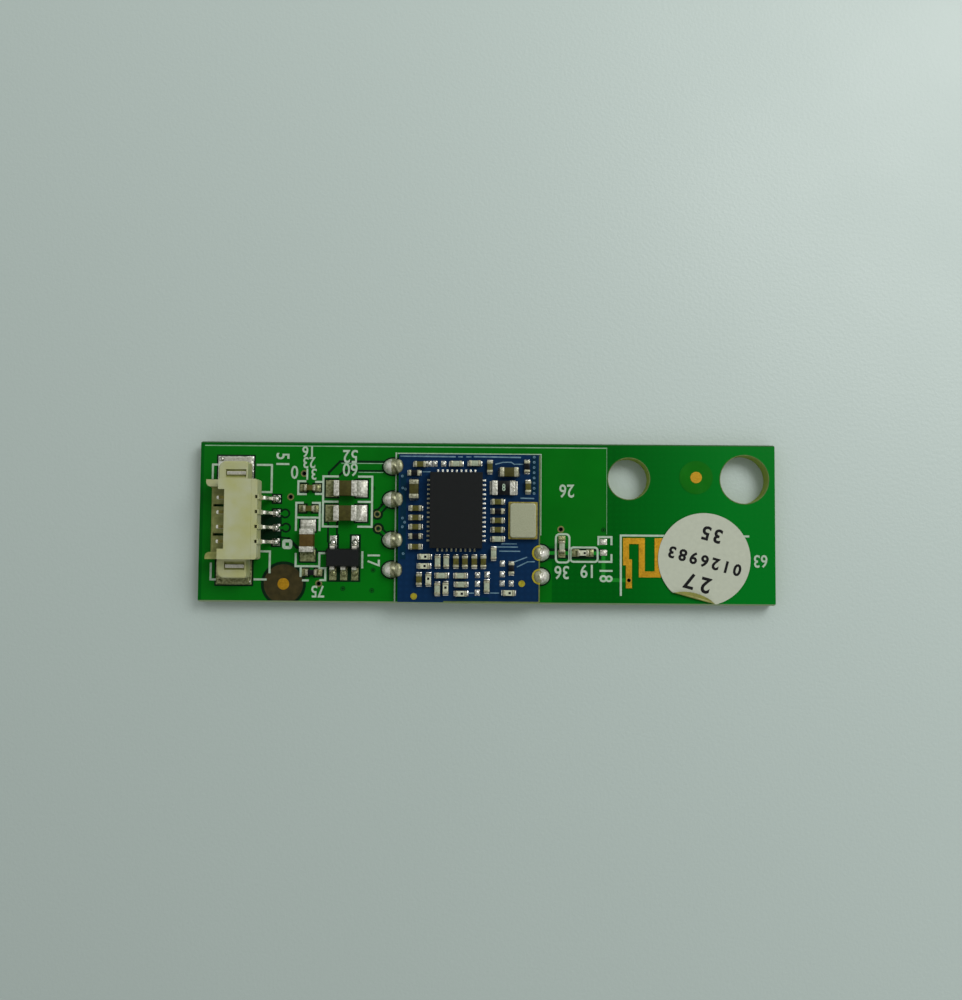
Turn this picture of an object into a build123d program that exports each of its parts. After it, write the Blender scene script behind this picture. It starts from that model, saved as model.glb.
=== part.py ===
from build123d import *
import os

os.makedirs("parts", exist_ok=True)

# A wifi module: a carrier board with a radio module soldered on it by its castellated edges,
# a four-way wire header, a regulator, a printed antenna and an inspection sticker.
# Millimetres. The origin is the centre of the carrier board's underside. +X runs from the header
# to the antenna, +Y across the board towards the two holes, +Z up on the component side.

# Carrier board
BOARD_L = 50.0
BOARD_W = 14.0
BOARD_T = 1.6
SCORE_W = 0.15      # sloped wall that the V-score leaves along the long edges
SCORE_H = 0.5
RIGHT_HOLE_R = 2.1
LEFT_HOLE_R = 1.8
RIGHT_HOLE_INSET = 2.65     # from the antenna end to the hole's centre
HOLE_PITCH = 10.05
HOLE_TOP_INSET = 3.05
VIA_R = 0.17
HEADER_VIAS = [(-15.95, 4.2), (-17.1, 2.15), (-14.55, -5.35)]
JOINT_VIAS = [(-9.55, 0.7), (-9.45, -0.55)]
COIL_VIA = (6.4, -0.5)

# Printed antenna, a meander of bare gold-plated copper
FOIL_T = 0.05
TRACE_W = 0.52
ANTENNA_X = 12.05   # middle of the first leg
ANTENNA_TOP = -1.2
ANTENNA_BOTTOM = -4.6
ANTENNA_PITCH = 1.37
ANTENNA_LEGS = 7
FEED_JOG = 0.25     # the feed end is stepped over by this much
FEED_STEP_Y = -3.3
FEED_END_Y = -5.55

# Round alignment marks: bare copper dots
MARK_R = 0.5
BOARD_MARKS = [(-17.6, -5.4), (18.15, 4.1)]
MODULE_MARK_R = 0.28
MODULE_MARKS = [(-6.25, -6.35), (3.0, -5.2)]

# Wire header, side entry, its mouth towards the board's end
WAYS = 4
PITCH = 1.25
HEADER_Y = 0.09
HEADER_W = 6.75
HEADER_H = 3.4
HEADER_REAR = -19.27        # back of the roof
ROOF_L = 2.75               # roof, from its recessed middle to the back
CHEEK_LEAD = 0.53           # roof corners ahead of the recessed middle
EAR_LEAD = 1.33             # guide ears ahead of the roof corners
EAR_H = 2.2
EAR_R = 0.4
ROOF_RECESS_W = 5.0
SIDE_WALL = 0.6
FLOOR_T = 0.55
FLOOR_BEVEL = 0.2
ROOF_T = 0.65
BACK_WALL = 0.9
UNDERCUT_L = 0.4            # the back wall stands in at its foot, where the tails leave
UNDERCUT_H = 1.75
ROOF_STEP_L = 0.5           # rear stretch of the roof, a hair lower
ROOF_STEP_H = 0.06
REAR_R = 0.2
KEY_SLOT_W = 0.22
KEY_SLOT_PITCH = 2.52
KEY_SLOT_L = 1.9
NOTCH_W = 0.28              # slot through the overhang, above each pin
NOTCH_L = 0.2
RIB_W = 0.4                 # rib that closes a slot at the back
RIB_OUT = 0.12
RIB_DROP = 0.1              # rib's top, below the roof

# Header pins, square wire with gull-wing tails
PIN_W = 0.32
PIN_Z = 1.5
PIN_REACH = 3.88            # ahead of the roof's back
PIN_TAIL = 1.2              # behind the roof's back
PIN_SHOULDER = 0.25
PIN_DROP = 0.27
PIN_BEND_R = 0.22
TAIL_PAD_BACK = 0.22        # pad's middle, back from the pin's end
TAIL_PAD_L = 0.62
TAIL_PAD_W = 0.62
TAIL_PAD_H = 0.3
SOLDER_T = 0.08             # solder between a foot and its land

# Wings and solder nails
WING_L = 2.5
WING_W = 1.6
WING_TOP = 2.0
WING_FRONT = -22.92
WING_R = 0.65
WING_REAR_R = 0.22
WING_BEVEL = 0.1
NAIL_T = 0.34
NAIL_LEG_L = 1.62
NAIL_FOOT_L = 2.4
NAIL_LEG_OUT = 0.58         # middle of the upright leg from the header's side
NAIL_FOOT_OUT = 2.12        # tip of the foot from the header's side
NAIL_BEND_R = 0.25
NAIL_RECESS = 0.05
SLOT_L = 1.74
SLOT_W = 0.7
SLOT_OFFSET = 0.03          # slot middle, towards the body from the leg's middle
SLOT_WALL = 0.12            # between the slot and the wing's back
NAIL_LAND_L = 3.1
NAIL_LAND_LEAD = 0.23       # land's middle, ahead of the wing's
NAIL_LAND_W = 2.1

# Chip parts: length, width, height
CHIP_0402 = (1.0, 0.5, 0.5)
RESISTOR_0402 = (1.0, 0.5, 0.35)
CHIP_0603 = (1.6, 0.8, 0.8)
CHIP_0805 = (2.0, 1.33, 1.0)
NARROW_0805 = (2.0, 1.2, 1.0)
LINK_0805 = (2.0, 1.25, 0.5)
BAND_SHARE = 0.26           # metal end cap, share of the chip's length
BAND_PROUD = 0.02           # how far the end caps stand out of the body

# Chips on the carrier board: x, y
SUPPLY_X = -12.24
SUPPLY_YS = [2.9, 0.75]
OUTPUT_AT = (-15.54, -1.63)
SMALL_CHIPS = [(-15.4, 2.95), (-15.46, 1.14), (-15.18, -4.39)]
COIL_FEED = (8.3, -2.54)
COIL_SHUNT = (6.48, -2.0)

# Regulator, five gull-wing leads
REG_AT = (-12.38, -3.1)
REG_L = 2.95
REG_W = 1.6
REG_H = 1.05
REG_STANDOFF = 0.06
REG_DRAFT = 0.12
LEAD_PITCH = 0.95
LEAD_W = 0.4
LEAD_T = 0.15
LEAD_SPAN = 2.8
LEAD_FOOT = 0.4
LEAD_BEND_R = 0.14
LEAD_Z = 0.6

# Radio module board
MODULE_L = 12.2
MODULE_W = 12.75
MODULE_T = 0.8
MODULE_X = -1.55
MODULE_Y = -0.475
HALF_HOLE_R = 0.4
LEFT_JOINT_YS = [4.85, 1.97, -1.53, -4.1]
RIGHT_JOINT_YS = [-2.57, -4.59]
JOINT_W = 1.42
JOINT_CAP = 0.3             # solder above the module's top
JOINT_L = {-1: 1.75, 1: 1.55}       # across the module's left and right edge
JOINT_SHIFT = {-1: 0.55, 1: 0.1}    # joint middle, outwards from the module's edge
JOINT_LAND_R = {-1: 0.38, 1: 0.66}  # solder that spreads over the module's top
JOINT_LAND_T = 0.08

# Radio chip, leadless
CHIP_AT = (-2.66, 1.04)
CHIP_L = 4.5
CHIP_W = 6.5
CHIP_H = 0.85
CHIP_LEAD_PITCH = 0.4
SIDE_LEADS = 14
END_LEADS = 9
CHIP_LEAD_W = 0.22
CHIP_LEAD_OUT = 0.28
CHIP_LEAD_IN = 0.3
CHIP_LEAD_H = 0.06
THERMAL_PAD = (3.0, 5.0)

# Crystal
CRYSTAL_AT = (3.06, 0.2)
CRYSTAL_L = 2.5
CRYSTAL_W = 3.2
CRYSTAL_H = 0.5
CRYSTAL_RIM = 0.19
LID_H = 0.2
LID_R = 0.25

# Chips on the radio module, as (x, y, upright)
LEFT_COLUMN_X = -6.15
LEFT_COLUMN_YS = [1.2, 0.4, -0.4, -1.2, -2.1]
RIGHT_COLUMN_X = 0.9
RIGHT_COLUMN_YS = [1.8, 1.0, 0.2, -0.6, -1.4]
LOWER_ROW_Y = -3.35
LOWER_ROW_XS = [-4.22, -3.48, -2.65, -1.88, -1.08, -0.3]
RESERVOIRS = [(-6.3, 2.83, True), (1.85, 4.35, False)]
LINK_PLACE = (1.4, 3.0, False)
CAPACITORS = [(LEFT_COLUMN_X, y, False) for y in LEFT_COLUMN_YS[:3] + LEFT_COLUMN_YS[4:]]
CAPACITORS += [(RIGHT_COLUMN_X, y, False) for y in RIGHT_COLUMN_YS[:1] + RIGHT_COLUMN_YS[2:4]]
CAPACITORS += [(x, LOWER_ROW_Y, True) for x in LOWER_ROW_XS[2:]]
CAPACITORS += [(-5.8, 5.0, False), (0.2, 4.8, True), (3.5, 3.1, True), (-5.8, -4.9, True)]
RESISTORS = [(-6.3, 4.25, False), (LEFT_COLUMN_X, LEFT_COLUMN_YS[3], False)]
RESISTORS += [(RIGHT_COLUMN_X, RIGHT_COLUMN_YS[1], False)]
RESISTORS += [(3.4, 4.85, True), (2.1, -3.9, True)]
COILS = [(-2.7, 5.05, False), (-1.1, 5.1, False), (RIGHT_COLUMN_X, RIGHT_COLUMN_YS[4], False)]
COILS += [(-3.87, -4.55, False), (-2.25, -4.55, False), (-2.2, -5.3, False)]
COILS += [(x, LOWER_ROW_Y, True) for x in LOWER_ROW_XS[:2]]
COILS += [(-4.23, -5.7, True), (0.57, -2.65, True), (0.0, -5.45, True)]
FILTERS = [(-5.35, -2.95, False), (-5.4, -3.75, False), (-2.2, -6.08, False), (1.88, -6.0, False)]
FILTERS += [(-5.0, -4.9, True), (-3.52, -5.65, True)]

# Solder on lands that carry no chip
LAND_L = 0.42
LAND_W = 0.5
LAND_H = 0.12
MODULE_LANDS = [(-5.05, 5.05), (-4.55, 5.05), (-3.8, 5.05), (1.33, -3.5), (1.33, -4.4), (1.32, -5.2)]
MODULE_LANDS += [(2.1, -5.2), (-0.8, -4.5), (-0.8, -5.25), (-0.8, -6.0), (0.02, -4.45)]
BOARD_LAND_L = 0.6
BOARD_LANDS = [(10.1, -1.56), (10.1, -2.5)]

# Inspection sticker, one edge folded over
STICKER_AT = (18.82, -3.0)
STICKER_R = 4.0
PAPER_T = 0.1
FOLD_DISTANCE = 3.45        # fold line from the sticker's centre
FOLD_ANGLE = 255.0          # direction of the fold line's middle, seen from above
FLAP_TILT = 12.0
FOLD_GAP = 0.1              # between the sticker and the paper folded over it

# Places that follow from the sizes above
TOP = BOARD_T
MODULE_TOP = TOP + MODULE_T
RIGHT_HOLE = (BOARD_L / 2 - RIGHT_HOLE_INSET, BOARD_W / 2 - HOLE_TOP_INSET)
LEFT_HOLE = (RIGHT_HOLE[0] - HOLE_PITCH, RIGHT_HOLE[1])
FEED_VIA = (ANTENNA_X + FEED_JOG, ANTENNA_BOTTOM - TRACE_W / 2)
ROOF_FRONT = HEADER_REAR - ROOF_L
CHEEK_FRONT = ROOF_FRONT - CHEEK_LEAD
EAR_FRONT = CHEEK_FRONT - EAR_LEAD
FOOT_REAR = HEADER_REAR - UNDERCUT_L
WING_MID = WING_FRONT + WING_L / 2
SLOT_MID = WING_FRONT + WING_L - SLOT_WALL - SLOT_L / 2
NAIL_LAND_MID = WING_MID - NAIL_LAND_LEAD
WING_FLOOR = SOLDER_T + NAIL_T
NAIL_LEG_V = HEADER_W / 2 + NAIL_LEG_OUT
NAIL_FOOT_V = HEADER_W / 2 + NAIL_FOOT_OUT
PIN_VS = [(n - (WAYS - 1) / 2) * PITCH for n in range(WAYS)]
LID_SEAT = MODULE_TOP + CRYSTAL_H


def slab(x0, x1, y0, y1, z0, z1):
    """A block between two corners."""
    block = Box(x1 - x0, y1 - y0, z1 - z0, align=(Align.MIN, Align.MIN, Align.MIN))
    return Pos(x0, y0, z0) * block


def plate(length, width, height):
    """A block centred in plan that stands on z = 0."""
    return Box(length, width, height, align=(Align.CENTER, Align.CENTER, Align.MIN))


def disc(radius, height):
    """A round plate that stands on z = 0."""
    return Cylinder(radius, height, align=(Align.CENTER, Align.CENTER, Align.MIN))


def side_cut(outline, width):
    """An outline in X and Z, extruded to both sides of the XZ plane."""
    return extrude(Plane.XZ * outline, width / 2, both=True)


def vertical_edges(body, x, ys):
    """The upright edges at one x and at any of the given ys."""
    found = []
    for edge in body.edges().filter_by(Axis.Z):
        middle = edge.center()
        if abs(middle.X - x) < 1e-3 and min(abs(middle.Y - y) for y in ys) < 1e-3:
            found.append(edge)
    return found


def main_board():
    half_w = BOARD_W / 2
    section = Polygon(
        (-half_w + SCORE_W, 0), (half_w - SCORE_W, 0), (half_w, SCORE_H), (half_w, BOARD_T - SCORE_H),
        (half_w - SCORE_W, BOARD_T), (-half_w + SCORE_W, BOARD_T), (-half_w, BOARD_T - SCORE_H),
        (-half_w, SCORE_H), align=None,
    )
    board = extrude(Plane.YZ * section, BOARD_L / 2, both=True)
    board -= Pos(*RIGHT_HOLE, 0) * disc(RIGHT_HOLE_R, BOARD_T)
    board -= Pos(*LEFT_HOLE, 0) * disc(LEFT_HOLE_R, BOARD_T)
    for via in HEADER_VIAS + JOINT_VIAS + [COIL_VIA, FEED_VIA]:
        board -= Pos(*via, 0) * disc(VIA_R, BOARD_T)
    return board


def antenna_trace():
    half = TRACE_W / 2
    foil = slab(ANTENNA_X - half, ANTENNA_X + half, FEED_STEP_Y - half, ANTENNA_TOP, TOP, TOP + FOIL_T)
    feed_x = ANTENNA_X + FEED_JOG
    foil += slab(feed_x - half, feed_x + half, FEED_END_Y, FEED_STEP_Y + half, TOP, TOP + FOIL_T)
    for leg in range(1, ANTENNA_LEGS):
        x = ANTENNA_X + leg * ANTENNA_PITCH
        foil += slab(x - half, x + half, ANTENNA_BOTTOM, ANTENNA_TOP, TOP, TOP + FOIL_T)
        bar_y = ANTENNA_TOP - half if leg % 2 else ANTENNA_BOTTOM + half
        foil += slab(x - ANTENNA_PITCH - half, x + half, bar_y - half, bar_y + half, TOP, TOP + FOIL_T)
    foil -= Pos(*FEED_VIA, 0) * disc(VIA_R, TOP + FOIL_T)
    return foil


def alignment_marks():
    marks = [Pos(x, y, TOP) * disc(MARK_R, FOIL_T) for x, y in BOARD_MARKS]
    marks += [Pos(x, y, MODULE_TOP) * disc(MODULE_MARK_R, FOIL_T) for x, y in MODULE_MARKS]
    return marks


def header_shell():
    """Floor, cheeks, ears, back wall and roof, round the mouth."""
    side = Polygon(
        (EAR_FRONT, 0), (FOOT_REAR, 0), (FOOT_REAR, UNDERCUT_H), (HEADER_REAR, UNDERCUT_H),
        (HEADER_REAR, HEADER_H - ROOF_STEP_H), (HEADER_REAR - ROOF_STEP_L, HEADER_H - ROOF_STEP_H),
        (HEADER_REAR - ROOF_STEP_L, HEADER_H), (CHEEK_FRONT, HEADER_H), (CHEEK_FRONT, EAR_H),
        (EAR_FRONT, EAR_H), align=None,
    )
    shell = side_cut(side, HEADER_W)
    rear_corners = vertical_edges(shell, HEADER_REAR, [-HEADER_W / 2, HEADER_W / 2])
    rear_corners += vertical_edges(shell, FOOT_REAR, [-HEADER_W / 2, HEADER_W / 2])
    shell = fillet(rear_corners, REAR_R)
    inside = HEADER_W / 2 - SIDE_WALL
    mouth_back = HEADER_REAR - BACK_WALL
    shell -= slab(EAR_FRONT, mouth_back, -inside, inside, 0, HEADER_H - ROOF_T)
    recess = ROOF_RECESS_W / 2
    shell -= slab(EAR_FRONT, ROOF_FRONT, -recess, recess, 0, HEADER_H)
    shell = fillet(vertical_edges(shell, EAR_FRONT, [-inside, inside]), EAR_R)
    shell += slab(EAR_FRONT, mouth_back, -HEADER_W / 2, HEADER_W / 2, 0, FLOOR_T)
    bevel = Polygon(
        (EAR_FRONT, FLOOR_T), (EAR_FRONT, FLOOR_T - FLOOR_BEVEL), (EAR_FRONT + FLOOR_BEVEL, FLOOR_T),
        align=None,
    )
    return shell - side_cut(bevel, 2 * inside)


def header_wing(side):
    """The lug that holds one solder nail, on the side given as 1 or -1."""
    root = HEADER_W / 2
    wing = slab(WING_FRONT, WING_FRONT + WING_L, root, root + WING_W, WING_FLOOR, WING_TOP)
    tip = root + WING_W
    wing = fillet(vertical_edges(wing, WING_FRONT, [tip]), WING_R)
    wing = fillet(vertical_edges(wing, WING_FRONT + WING_L, [tip]), WING_REAR_R)
    rear_top = wing.edges().filter_by(Axis.Y).sort_by(Axis.X)[-2:].sort_by(Axis.Z)[-1]
    wing = chamfer(rear_top, WING_BEVEL)
    slot_v = NAIL_LEG_V - SLOT_OFFSET
    wing -= Pos(SLOT_MID, slot_v, WING_FLOOR) * plate(SLOT_L, SLOT_W, WING_TOP)
    return wing if side > 0 else mirror(wing, Plane.XZ)


def header_housing():
    housing = header_shell() + header_wing(1) + header_wing(-1)
    for side in (1, -1):
        key_x = EAR_FRONT + FLOOR_BEVEL
        key_v = side * KEY_SLOT_PITCH / 2
        half = KEY_SLOT_W / 2
        housing -= slab(key_x, key_x + KEY_SLOT_L, key_v - half, key_v + half, 0, FLOOR_T)
    rib_top = HEADER_H - ROOF_STEP_H - RIB_DROP
    for v in PIN_VS:
        half = PIN_W / 2
        housing -= slab(HEADER_REAR - BACK_WALL, FOOT_REAR, v - half, v + half, PIN_Z - half, PIN_Z + half)
        cut = NOTCH_W / 2
        housing -= slab(HEADER_REAR - NOTCH_L, HEADER_REAR, v - cut, v + cut, UNDERCUT_H, HEADER_H)
        rib = RIB_W / 2
        housing += slab(HEADER_REAR, HEADER_REAR + RIB_OUT, v - rib, v + rib, UNDERCUT_H, rib_top)
    return Pos(0, HEADER_Y, TOP) * housing


def header_pin(v):
    foot_z = SOLDER_T + PIN_W / 2
    shoulder_x = HEADER_REAR + PIN_SHOULDER
    path = FilletPolyline(
        (HEADER_REAR - PIN_REACH, v, PIN_Z), (shoulder_x, v, PIN_Z),
        (shoulder_x + PIN_DROP, v, foot_z), (HEADER_REAR + PIN_TAIL, v, foot_z), radius=PIN_BEND_R,
    )
    section = Plane(path @ 0, z_dir=path % 0) * Rectangle(PIN_W, PIN_W)
    pin = sweep(section, path=path)
    tip_ring = pin.faces().sort_by(Axis.X)[0].edges()
    pin = chamfer(tip_ring, PIN_W / 4)
    return Pos(0, HEADER_Y, TOP) * pin


def header_nail(side):
    """A bent strip: an upright leg in the wing's slot and a foot on the board."""
    leg_v0 = NAIL_LEG_V - NAIL_T / 2
    leg_v1 = NAIL_LEG_V + NAIL_T / 2
    top = WING_TOP - NAIL_RECESS
    foot = slab(
        WING_MID - NAIL_FOOT_L / 2, WING_MID + NAIL_FOOT_L / 2, leg_v0, NAIL_FOOT_V, SOLDER_T, WING_FLOOR
    )
    leg = slab(SLOT_MID - NAIL_LEG_L / 2, SLOT_MID + NAIL_LEG_L / 2, leg_v0, leg_v1, SOLDER_T, top)
    heel = foot.edges().filter_by(Axis.X).sort_by(Axis.Y)[0:2].sort_by(Axis.Z)[0]
    foot = fillet(heel, NAIL_BEND_R)
    leg = fillet(leg.edges().filter_by(Axis.X).sort_by(Axis.Y)[0:2].sort_by(Axis.Z)[0], NAIL_BEND_R)
    nail = foot + leg
    nail = nail if side > 0 else mirror(nail, Plane.XZ)
    return Pos(0, HEADER_Y, TOP) * nail


def header_solder(pins):
    """Solder round the four tails and under the two nails."""
    joints = []
    for v, pin in zip(PIN_VS, pins):
        pad_x = HEADER_REAR + PIN_TAIL - TAIL_PAD_BACK
        blob = Pos(pad_x, HEADER_Y + v, TOP) * plate(TAIL_PAD_L, TAIL_PAD_W, TAIL_PAD_H)
        blob = chamfer(blob.faces().sort_by(Axis.Z)[-1].edges(), TAIL_PAD_H / 2)
        joints.append(blob - pin)
    for side in (1, -1):
        land_v = side * (NAIL_FOOT_V + SOLDER_T - NAIL_LAND_W / 2)
        land = plate(NAIL_LAND_L, NAIL_LAND_W, SOLDER_T)
        joints.append(Pos(NAIL_LAND_MID, HEADER_Y + land_v, TOP) * land)
    return joints


def chip(size):
    """A ceramic block between two metal end caps."""
    length, width, height = size
    body = plate(length - 2 * BAND_PROUD, width - 2 * BAND_PROUD, height - BAND_PROUD)
    band = length * BAND_SHARE
    for side in (1, -1):
        body += Pos(side * (length - band) / 2, 0, 0) * plate(band, width, height)
    return body


def placed(shape, place, z):
    """A chip at (x, y, upright) on the surface at z."""
    x, y, upright = place
    return Pos(x, y, z) * Rot(0, 0, 90 if upright else 0) * shape


def regulator_body():
    lower = LEAD_Z
    base = Rectangle(REG_L, REG_W)
    crown = Rectangle(REG_L - 2 * REG_DRAFT, REG_W - 2 * REG_DRAFT)
    keel = Rectangle(REG_L - REG_DRAFT, REG_W - REG_DRAFT)
    upper_half = loft([Pos(0, 0, lower) * base, Pos(0, 0, REG_H) * crown])
    lower_half = loft([Pos(0, 0, REG_STANDOFF) * keel, Pos(0, 0, lower) * base])
    body = upper_half + lower_half
    for side, steps in ((1, (-1, 1)), (-1, (-1, 0, 1))):
        for step in steps:
            pocket = plate(LEAD_W, 2 * LEAD_FOOT, LEAD_T)
            body -= Pos(step * LEAD_PITCH, side * REG_W / 2, LEAD_Z - LEAD_T / 2) * pocket
    return Pos(*REG_AT, TOP) * body


def regulator_leads():
    leads = []
    foot_z = LEAD_T / 2
    bend_y = LEAD_SPAN / 2 - LEAD_FOOT
    path = FilletPolyline(
        (0, REG_W / 2 - LEAD_FOOT, LEAD_Z), (0, bend_y, LEAD_Z), (0, bend_y + LEAD_T / 2, foot_z),
        (0, LEAD_SPAN / 2, foot_z), radius=LEAD_BEND_R,
    )
    section = Plane(path @ 0, x_dir=(1, 0, 0), z_dir=path % 0) * Rectangle(LEAD_W, LEAD_T)
    lead = sweep(section, path=path)
    for step in (-1, 1):
        leads.append(Pos(*REG_AT, TOP) * Pos(step * LEAD_PITCH, 0, 0) * lead)
    for step in (-1, 0, 1):
        leads.append(Pos(*REG_AT, TOP) * Pos(step * LEAD_PITCH, 0, 0) * Rot(0, 0, 180) * lead)
    return leads


def module_board():
    board = Pos(MODULE_X, MODULE_Y, TOP) * plate(MODULE_L, MODULE_W, MODULE_T)
    for x, y, side in joint_places():
        board -= Pos(x, y, TOP) * disc(HALF_HOLE_R, MODULE_T)
    return board


def joint_places():
    """Edge x, y and outward side of each castellation."""
    left = [(MODULE_X - MODULE_L / 2, y, -1) for y in LEFT_JOINT_YS]
    right = [(MODULE_X + MODULE_L / 2, y, 1) for y in RIGHT_JOINT_YS]
    return left + right


def castellation_joint(place, board):
    """A dome of solder that fills one half hole and spreads over both boards."""
    x, y, side = place
    rise = MODULE_T + JOINT_CAP
    half_ball = Sphere(1, arc_size1=0, align=(Align.CENTER, Align.CENTER, Align.MIN))
    dome = scale(half_ball, by=(JOINT_L[side] / 2, JOINT_W / 2, rise))
    dome = Pos(x + side * JOINT_SHIFT[side], y, TOP) * dome
    reach = JOINT_LAND_R[side]
    land = Pos(x, y, MODULE_TOP) * disc(reach, JOINT_LAND_T)
    inner, outer = sorted((x - side * reach, x))
    land &= slab(inner, outer, y - reach, y + reach, MODULE_TOP, MODULE_TOP + JOINT_LAND_T)
    return dome + land - board


def radio_chip_pads():
    """Lead fillets on four sides and the thermal pad, all under the chip's underside."""
    pads = []
    reach = CHIP_LEAD_OUT + CHIP_LEAD_IN
    out = (CHIP_LEAD_OUT - CHIP_LEAD_IN) / 2
    for n in range(SIDE_LEADS):
        y = CHIP_AT[1] + (n - (SIDE_LEADS - 1) / 2) * CHIP_LEAD_PITCH
        for side in (1, -1):
            x = CHIP_AT[0] + side * (CHIP_L / 2 + out)
            pads.append(Pos(x, y, MODULE_TOP) * plate(reach, CHIP_LEAD_W, CHIP_LEAD_H))
    for n in range(END_LEADS):
        x = CHIP_AT[0] + (n - (END_LEADS - 1) / 2) * CHIP_LEAD_PITCH
        for side in (1, -1):
            y = CHIP_AT[1] + side * (CHIP_W / 2 + out)
            pads.append(Pos(x, y, MODULE_TOP) * plate(CHIP_LEAD_W, reach, CHIP_LEAD_H))
    pads.append(Pos(*CHIP_AT, MODULE_TOP) * plate(*THERMAL_PAD, CHIP_LEAD_H))
    return pads


def radio_chip():
    return Pos(*CHIP_AT, MODULE_TOP + CHIP_LEAD_H) * plate(CHIP_L, CHIP_W, CHIP_H)


def crystal_lid():
    outline = RectangleRounded(CRYSTAL_L - 2 * CRYSTAL_RIM, CRYSTAL_W - 2 * CRYSTAL_RIM, LID_R)
    return Pos(*CRYSTAL_AT, LID_SEAT) * extrude(outline, LID_H)


def cushion(length):
    solid = plate(length, LAND_W, LAND_H)
    return chamfer(solid.faces().sort_by(Axis.Z)[-1].edges(), LAND_H * 0.6)


def pad_solder():
    """Low cushions of solder on the empty lands."""
    lands = [Pos(x, y, MODULE_TOP) * cushion(LAND_L) for x, y in MODULE_LANDS]
    return lands + [Pos(x, y, TOP) * cushion(BOARD_LAND_L) for x, y in BOARD_LANDS]


def sticker():
    """A paper disc whose edge is folded back over the fold line."""
    flat = disc(STICKER_R, PAPER_T)
    flat &= slab(-STICKER_R, FOLD_DISTANCE, -STICKER_R, STICKER_R, 0, PAPER_T)
    flap_l = STICKER_R - FOLD_DISTANCE
    bend_r = (FOLD_GAP + PAPER_T) / 2
    start = (FOLD_DISTANCE - bend_r, PAPER_T / 2)
    turn_x, turn_z = start[0], start[1] + 2 * bend_r
    end = PolarLine((turn_x, turn_z), flap_l, 180 - FLAP_TILT) @ 1
    run = Polyline((start[0] - PAPER_T, start[1]), start)
    bend = ThreePointArc(start, (start[0] + bend_r, start[1] + bend_r), (turn_x, turn_z))
    flap = Line((turn_x, turn_z), end)
    band = extrude(Plane.XZ * trace(run + bend + flap, PAPER_T), STICKER_R, both=True)
    mirrored_disc = Pos(2 * FOLD_DISTANCE, 0, 0) * disc(STICKER_R, STICKER_R)
    band &= mirrored_disc
    whole = flat + band
    return Pos(*STICKER_AT, TOP + FOIL_T) * Rot(0, 0, FOLD_ANGLE) * whole


def save(name, shape):
    """One STEP per node; a list is a group of like pieces, each its own solid."""
    solids = []
    for piece in shape if isinstance(shape, list) else [shape]:
        solids += piece.solids()
    for solid in solids:
        solid.label = name
    whole = solids[0] if len(solids) == 1 else Compound(label=name, children=solids)
    export_step(whole, f"parts/{name}.step")


save("main_board", main_board())
save("antenna_trace", antenna_trace())
save("alignment_marks", alignment_marks())
save("header_housing", header_housing())
pins = [header_pin(v) for v in PIN_VS]
for number, pin in enumerate(pins, 1):
    save(f"header_pin_{number}", pin)
save("header_nail_upper", header_nail(1))
save("header_nail_lower", header_nail(-1))
save("header_solder", header_solder(pins))
for number, y in enumerate(SUPPLY_YS, 1):
    save(f"supply_capacitor_{number}", placed(chip(CHIP_0805), (SUPPLY_X, y, False), TOP))
save("output_capacitor", placed(chip(NARROW_0805), (*OUTPUT_AT, True), TOP))
for number, (x, y) in enumerate(SMALL_CHIPS, 1):
    save(f"small_capacitor_{number}", placed(chip(CHIP_0402), (x, y, False), TOP))
save("regulator_body", regulator_body())
save("regulator_leads", regulator_leads())
save("feed_coil", placed(chip(CHIP_0402), (*COIL_FEED, False), TOP))
save("shunt_coil", placed(chip(CHIP_0402), (*COIL_SHUNT, True), TOP))
blue_board = module_board()
save("module_board", blue_board)
for number, place in enumerate(joint_places(), 1):
    save(f"castellation_joint_{number}", castellation_joint(place, blue_board))
save("radio_chip", radio_chip())
save("radio_chip_pads", radio_chip_pads())
save("crystal_base", Pos(*CRYSTAL_AT, MODULE_TOP) * plate(CRYSTAL_L, CRYSTAL_W, CRYSTAL_H))
save("crystal_lid", crystal_lid())
save("zero_ohm_link", placed(chip(LINK_0805), LINK_PLACE, MODULE_TOP))
for number, place in enumerate(RESERVOIRS, 1):
    save(f"reservoir_capacitor_{number}", placed(chip(CHIP_0603), place, MODULE_TOP))
for number, place in enumerate(CAPACITORS, 1):
    save(f"module_capacitor_{number:02d}", placed(chip(CHIP_0402), place, MODULE_TOP))
for number, place in enumerate(RESISTORS, 1):
    save(f"module_resistor_{number}", placed(chip(RESISTOR_0402), place, MODULE_TOP))
save("module_coils", [placed(chip(CHIP_0402), place, MODULE_TOP) for place in COILS])
save("module_filters", [placed(chip(CHIP_0402), place, MODULE_TOP) for place in FILTERS])
save("pad_solder", pad_solder())
save("sticker", sticker())
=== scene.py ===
"""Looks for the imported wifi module: masks, printed lines, solder, chips, header and sticker.

Drawing is in millimetres on the board's own axes; a finished piece is scaled to metres once.
"""

import math

import bmesh
import bpy
from bpy.props import FloatProperty, FloatVectorProperty, StringProperty
from mathutils import Matrix, Vector


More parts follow.
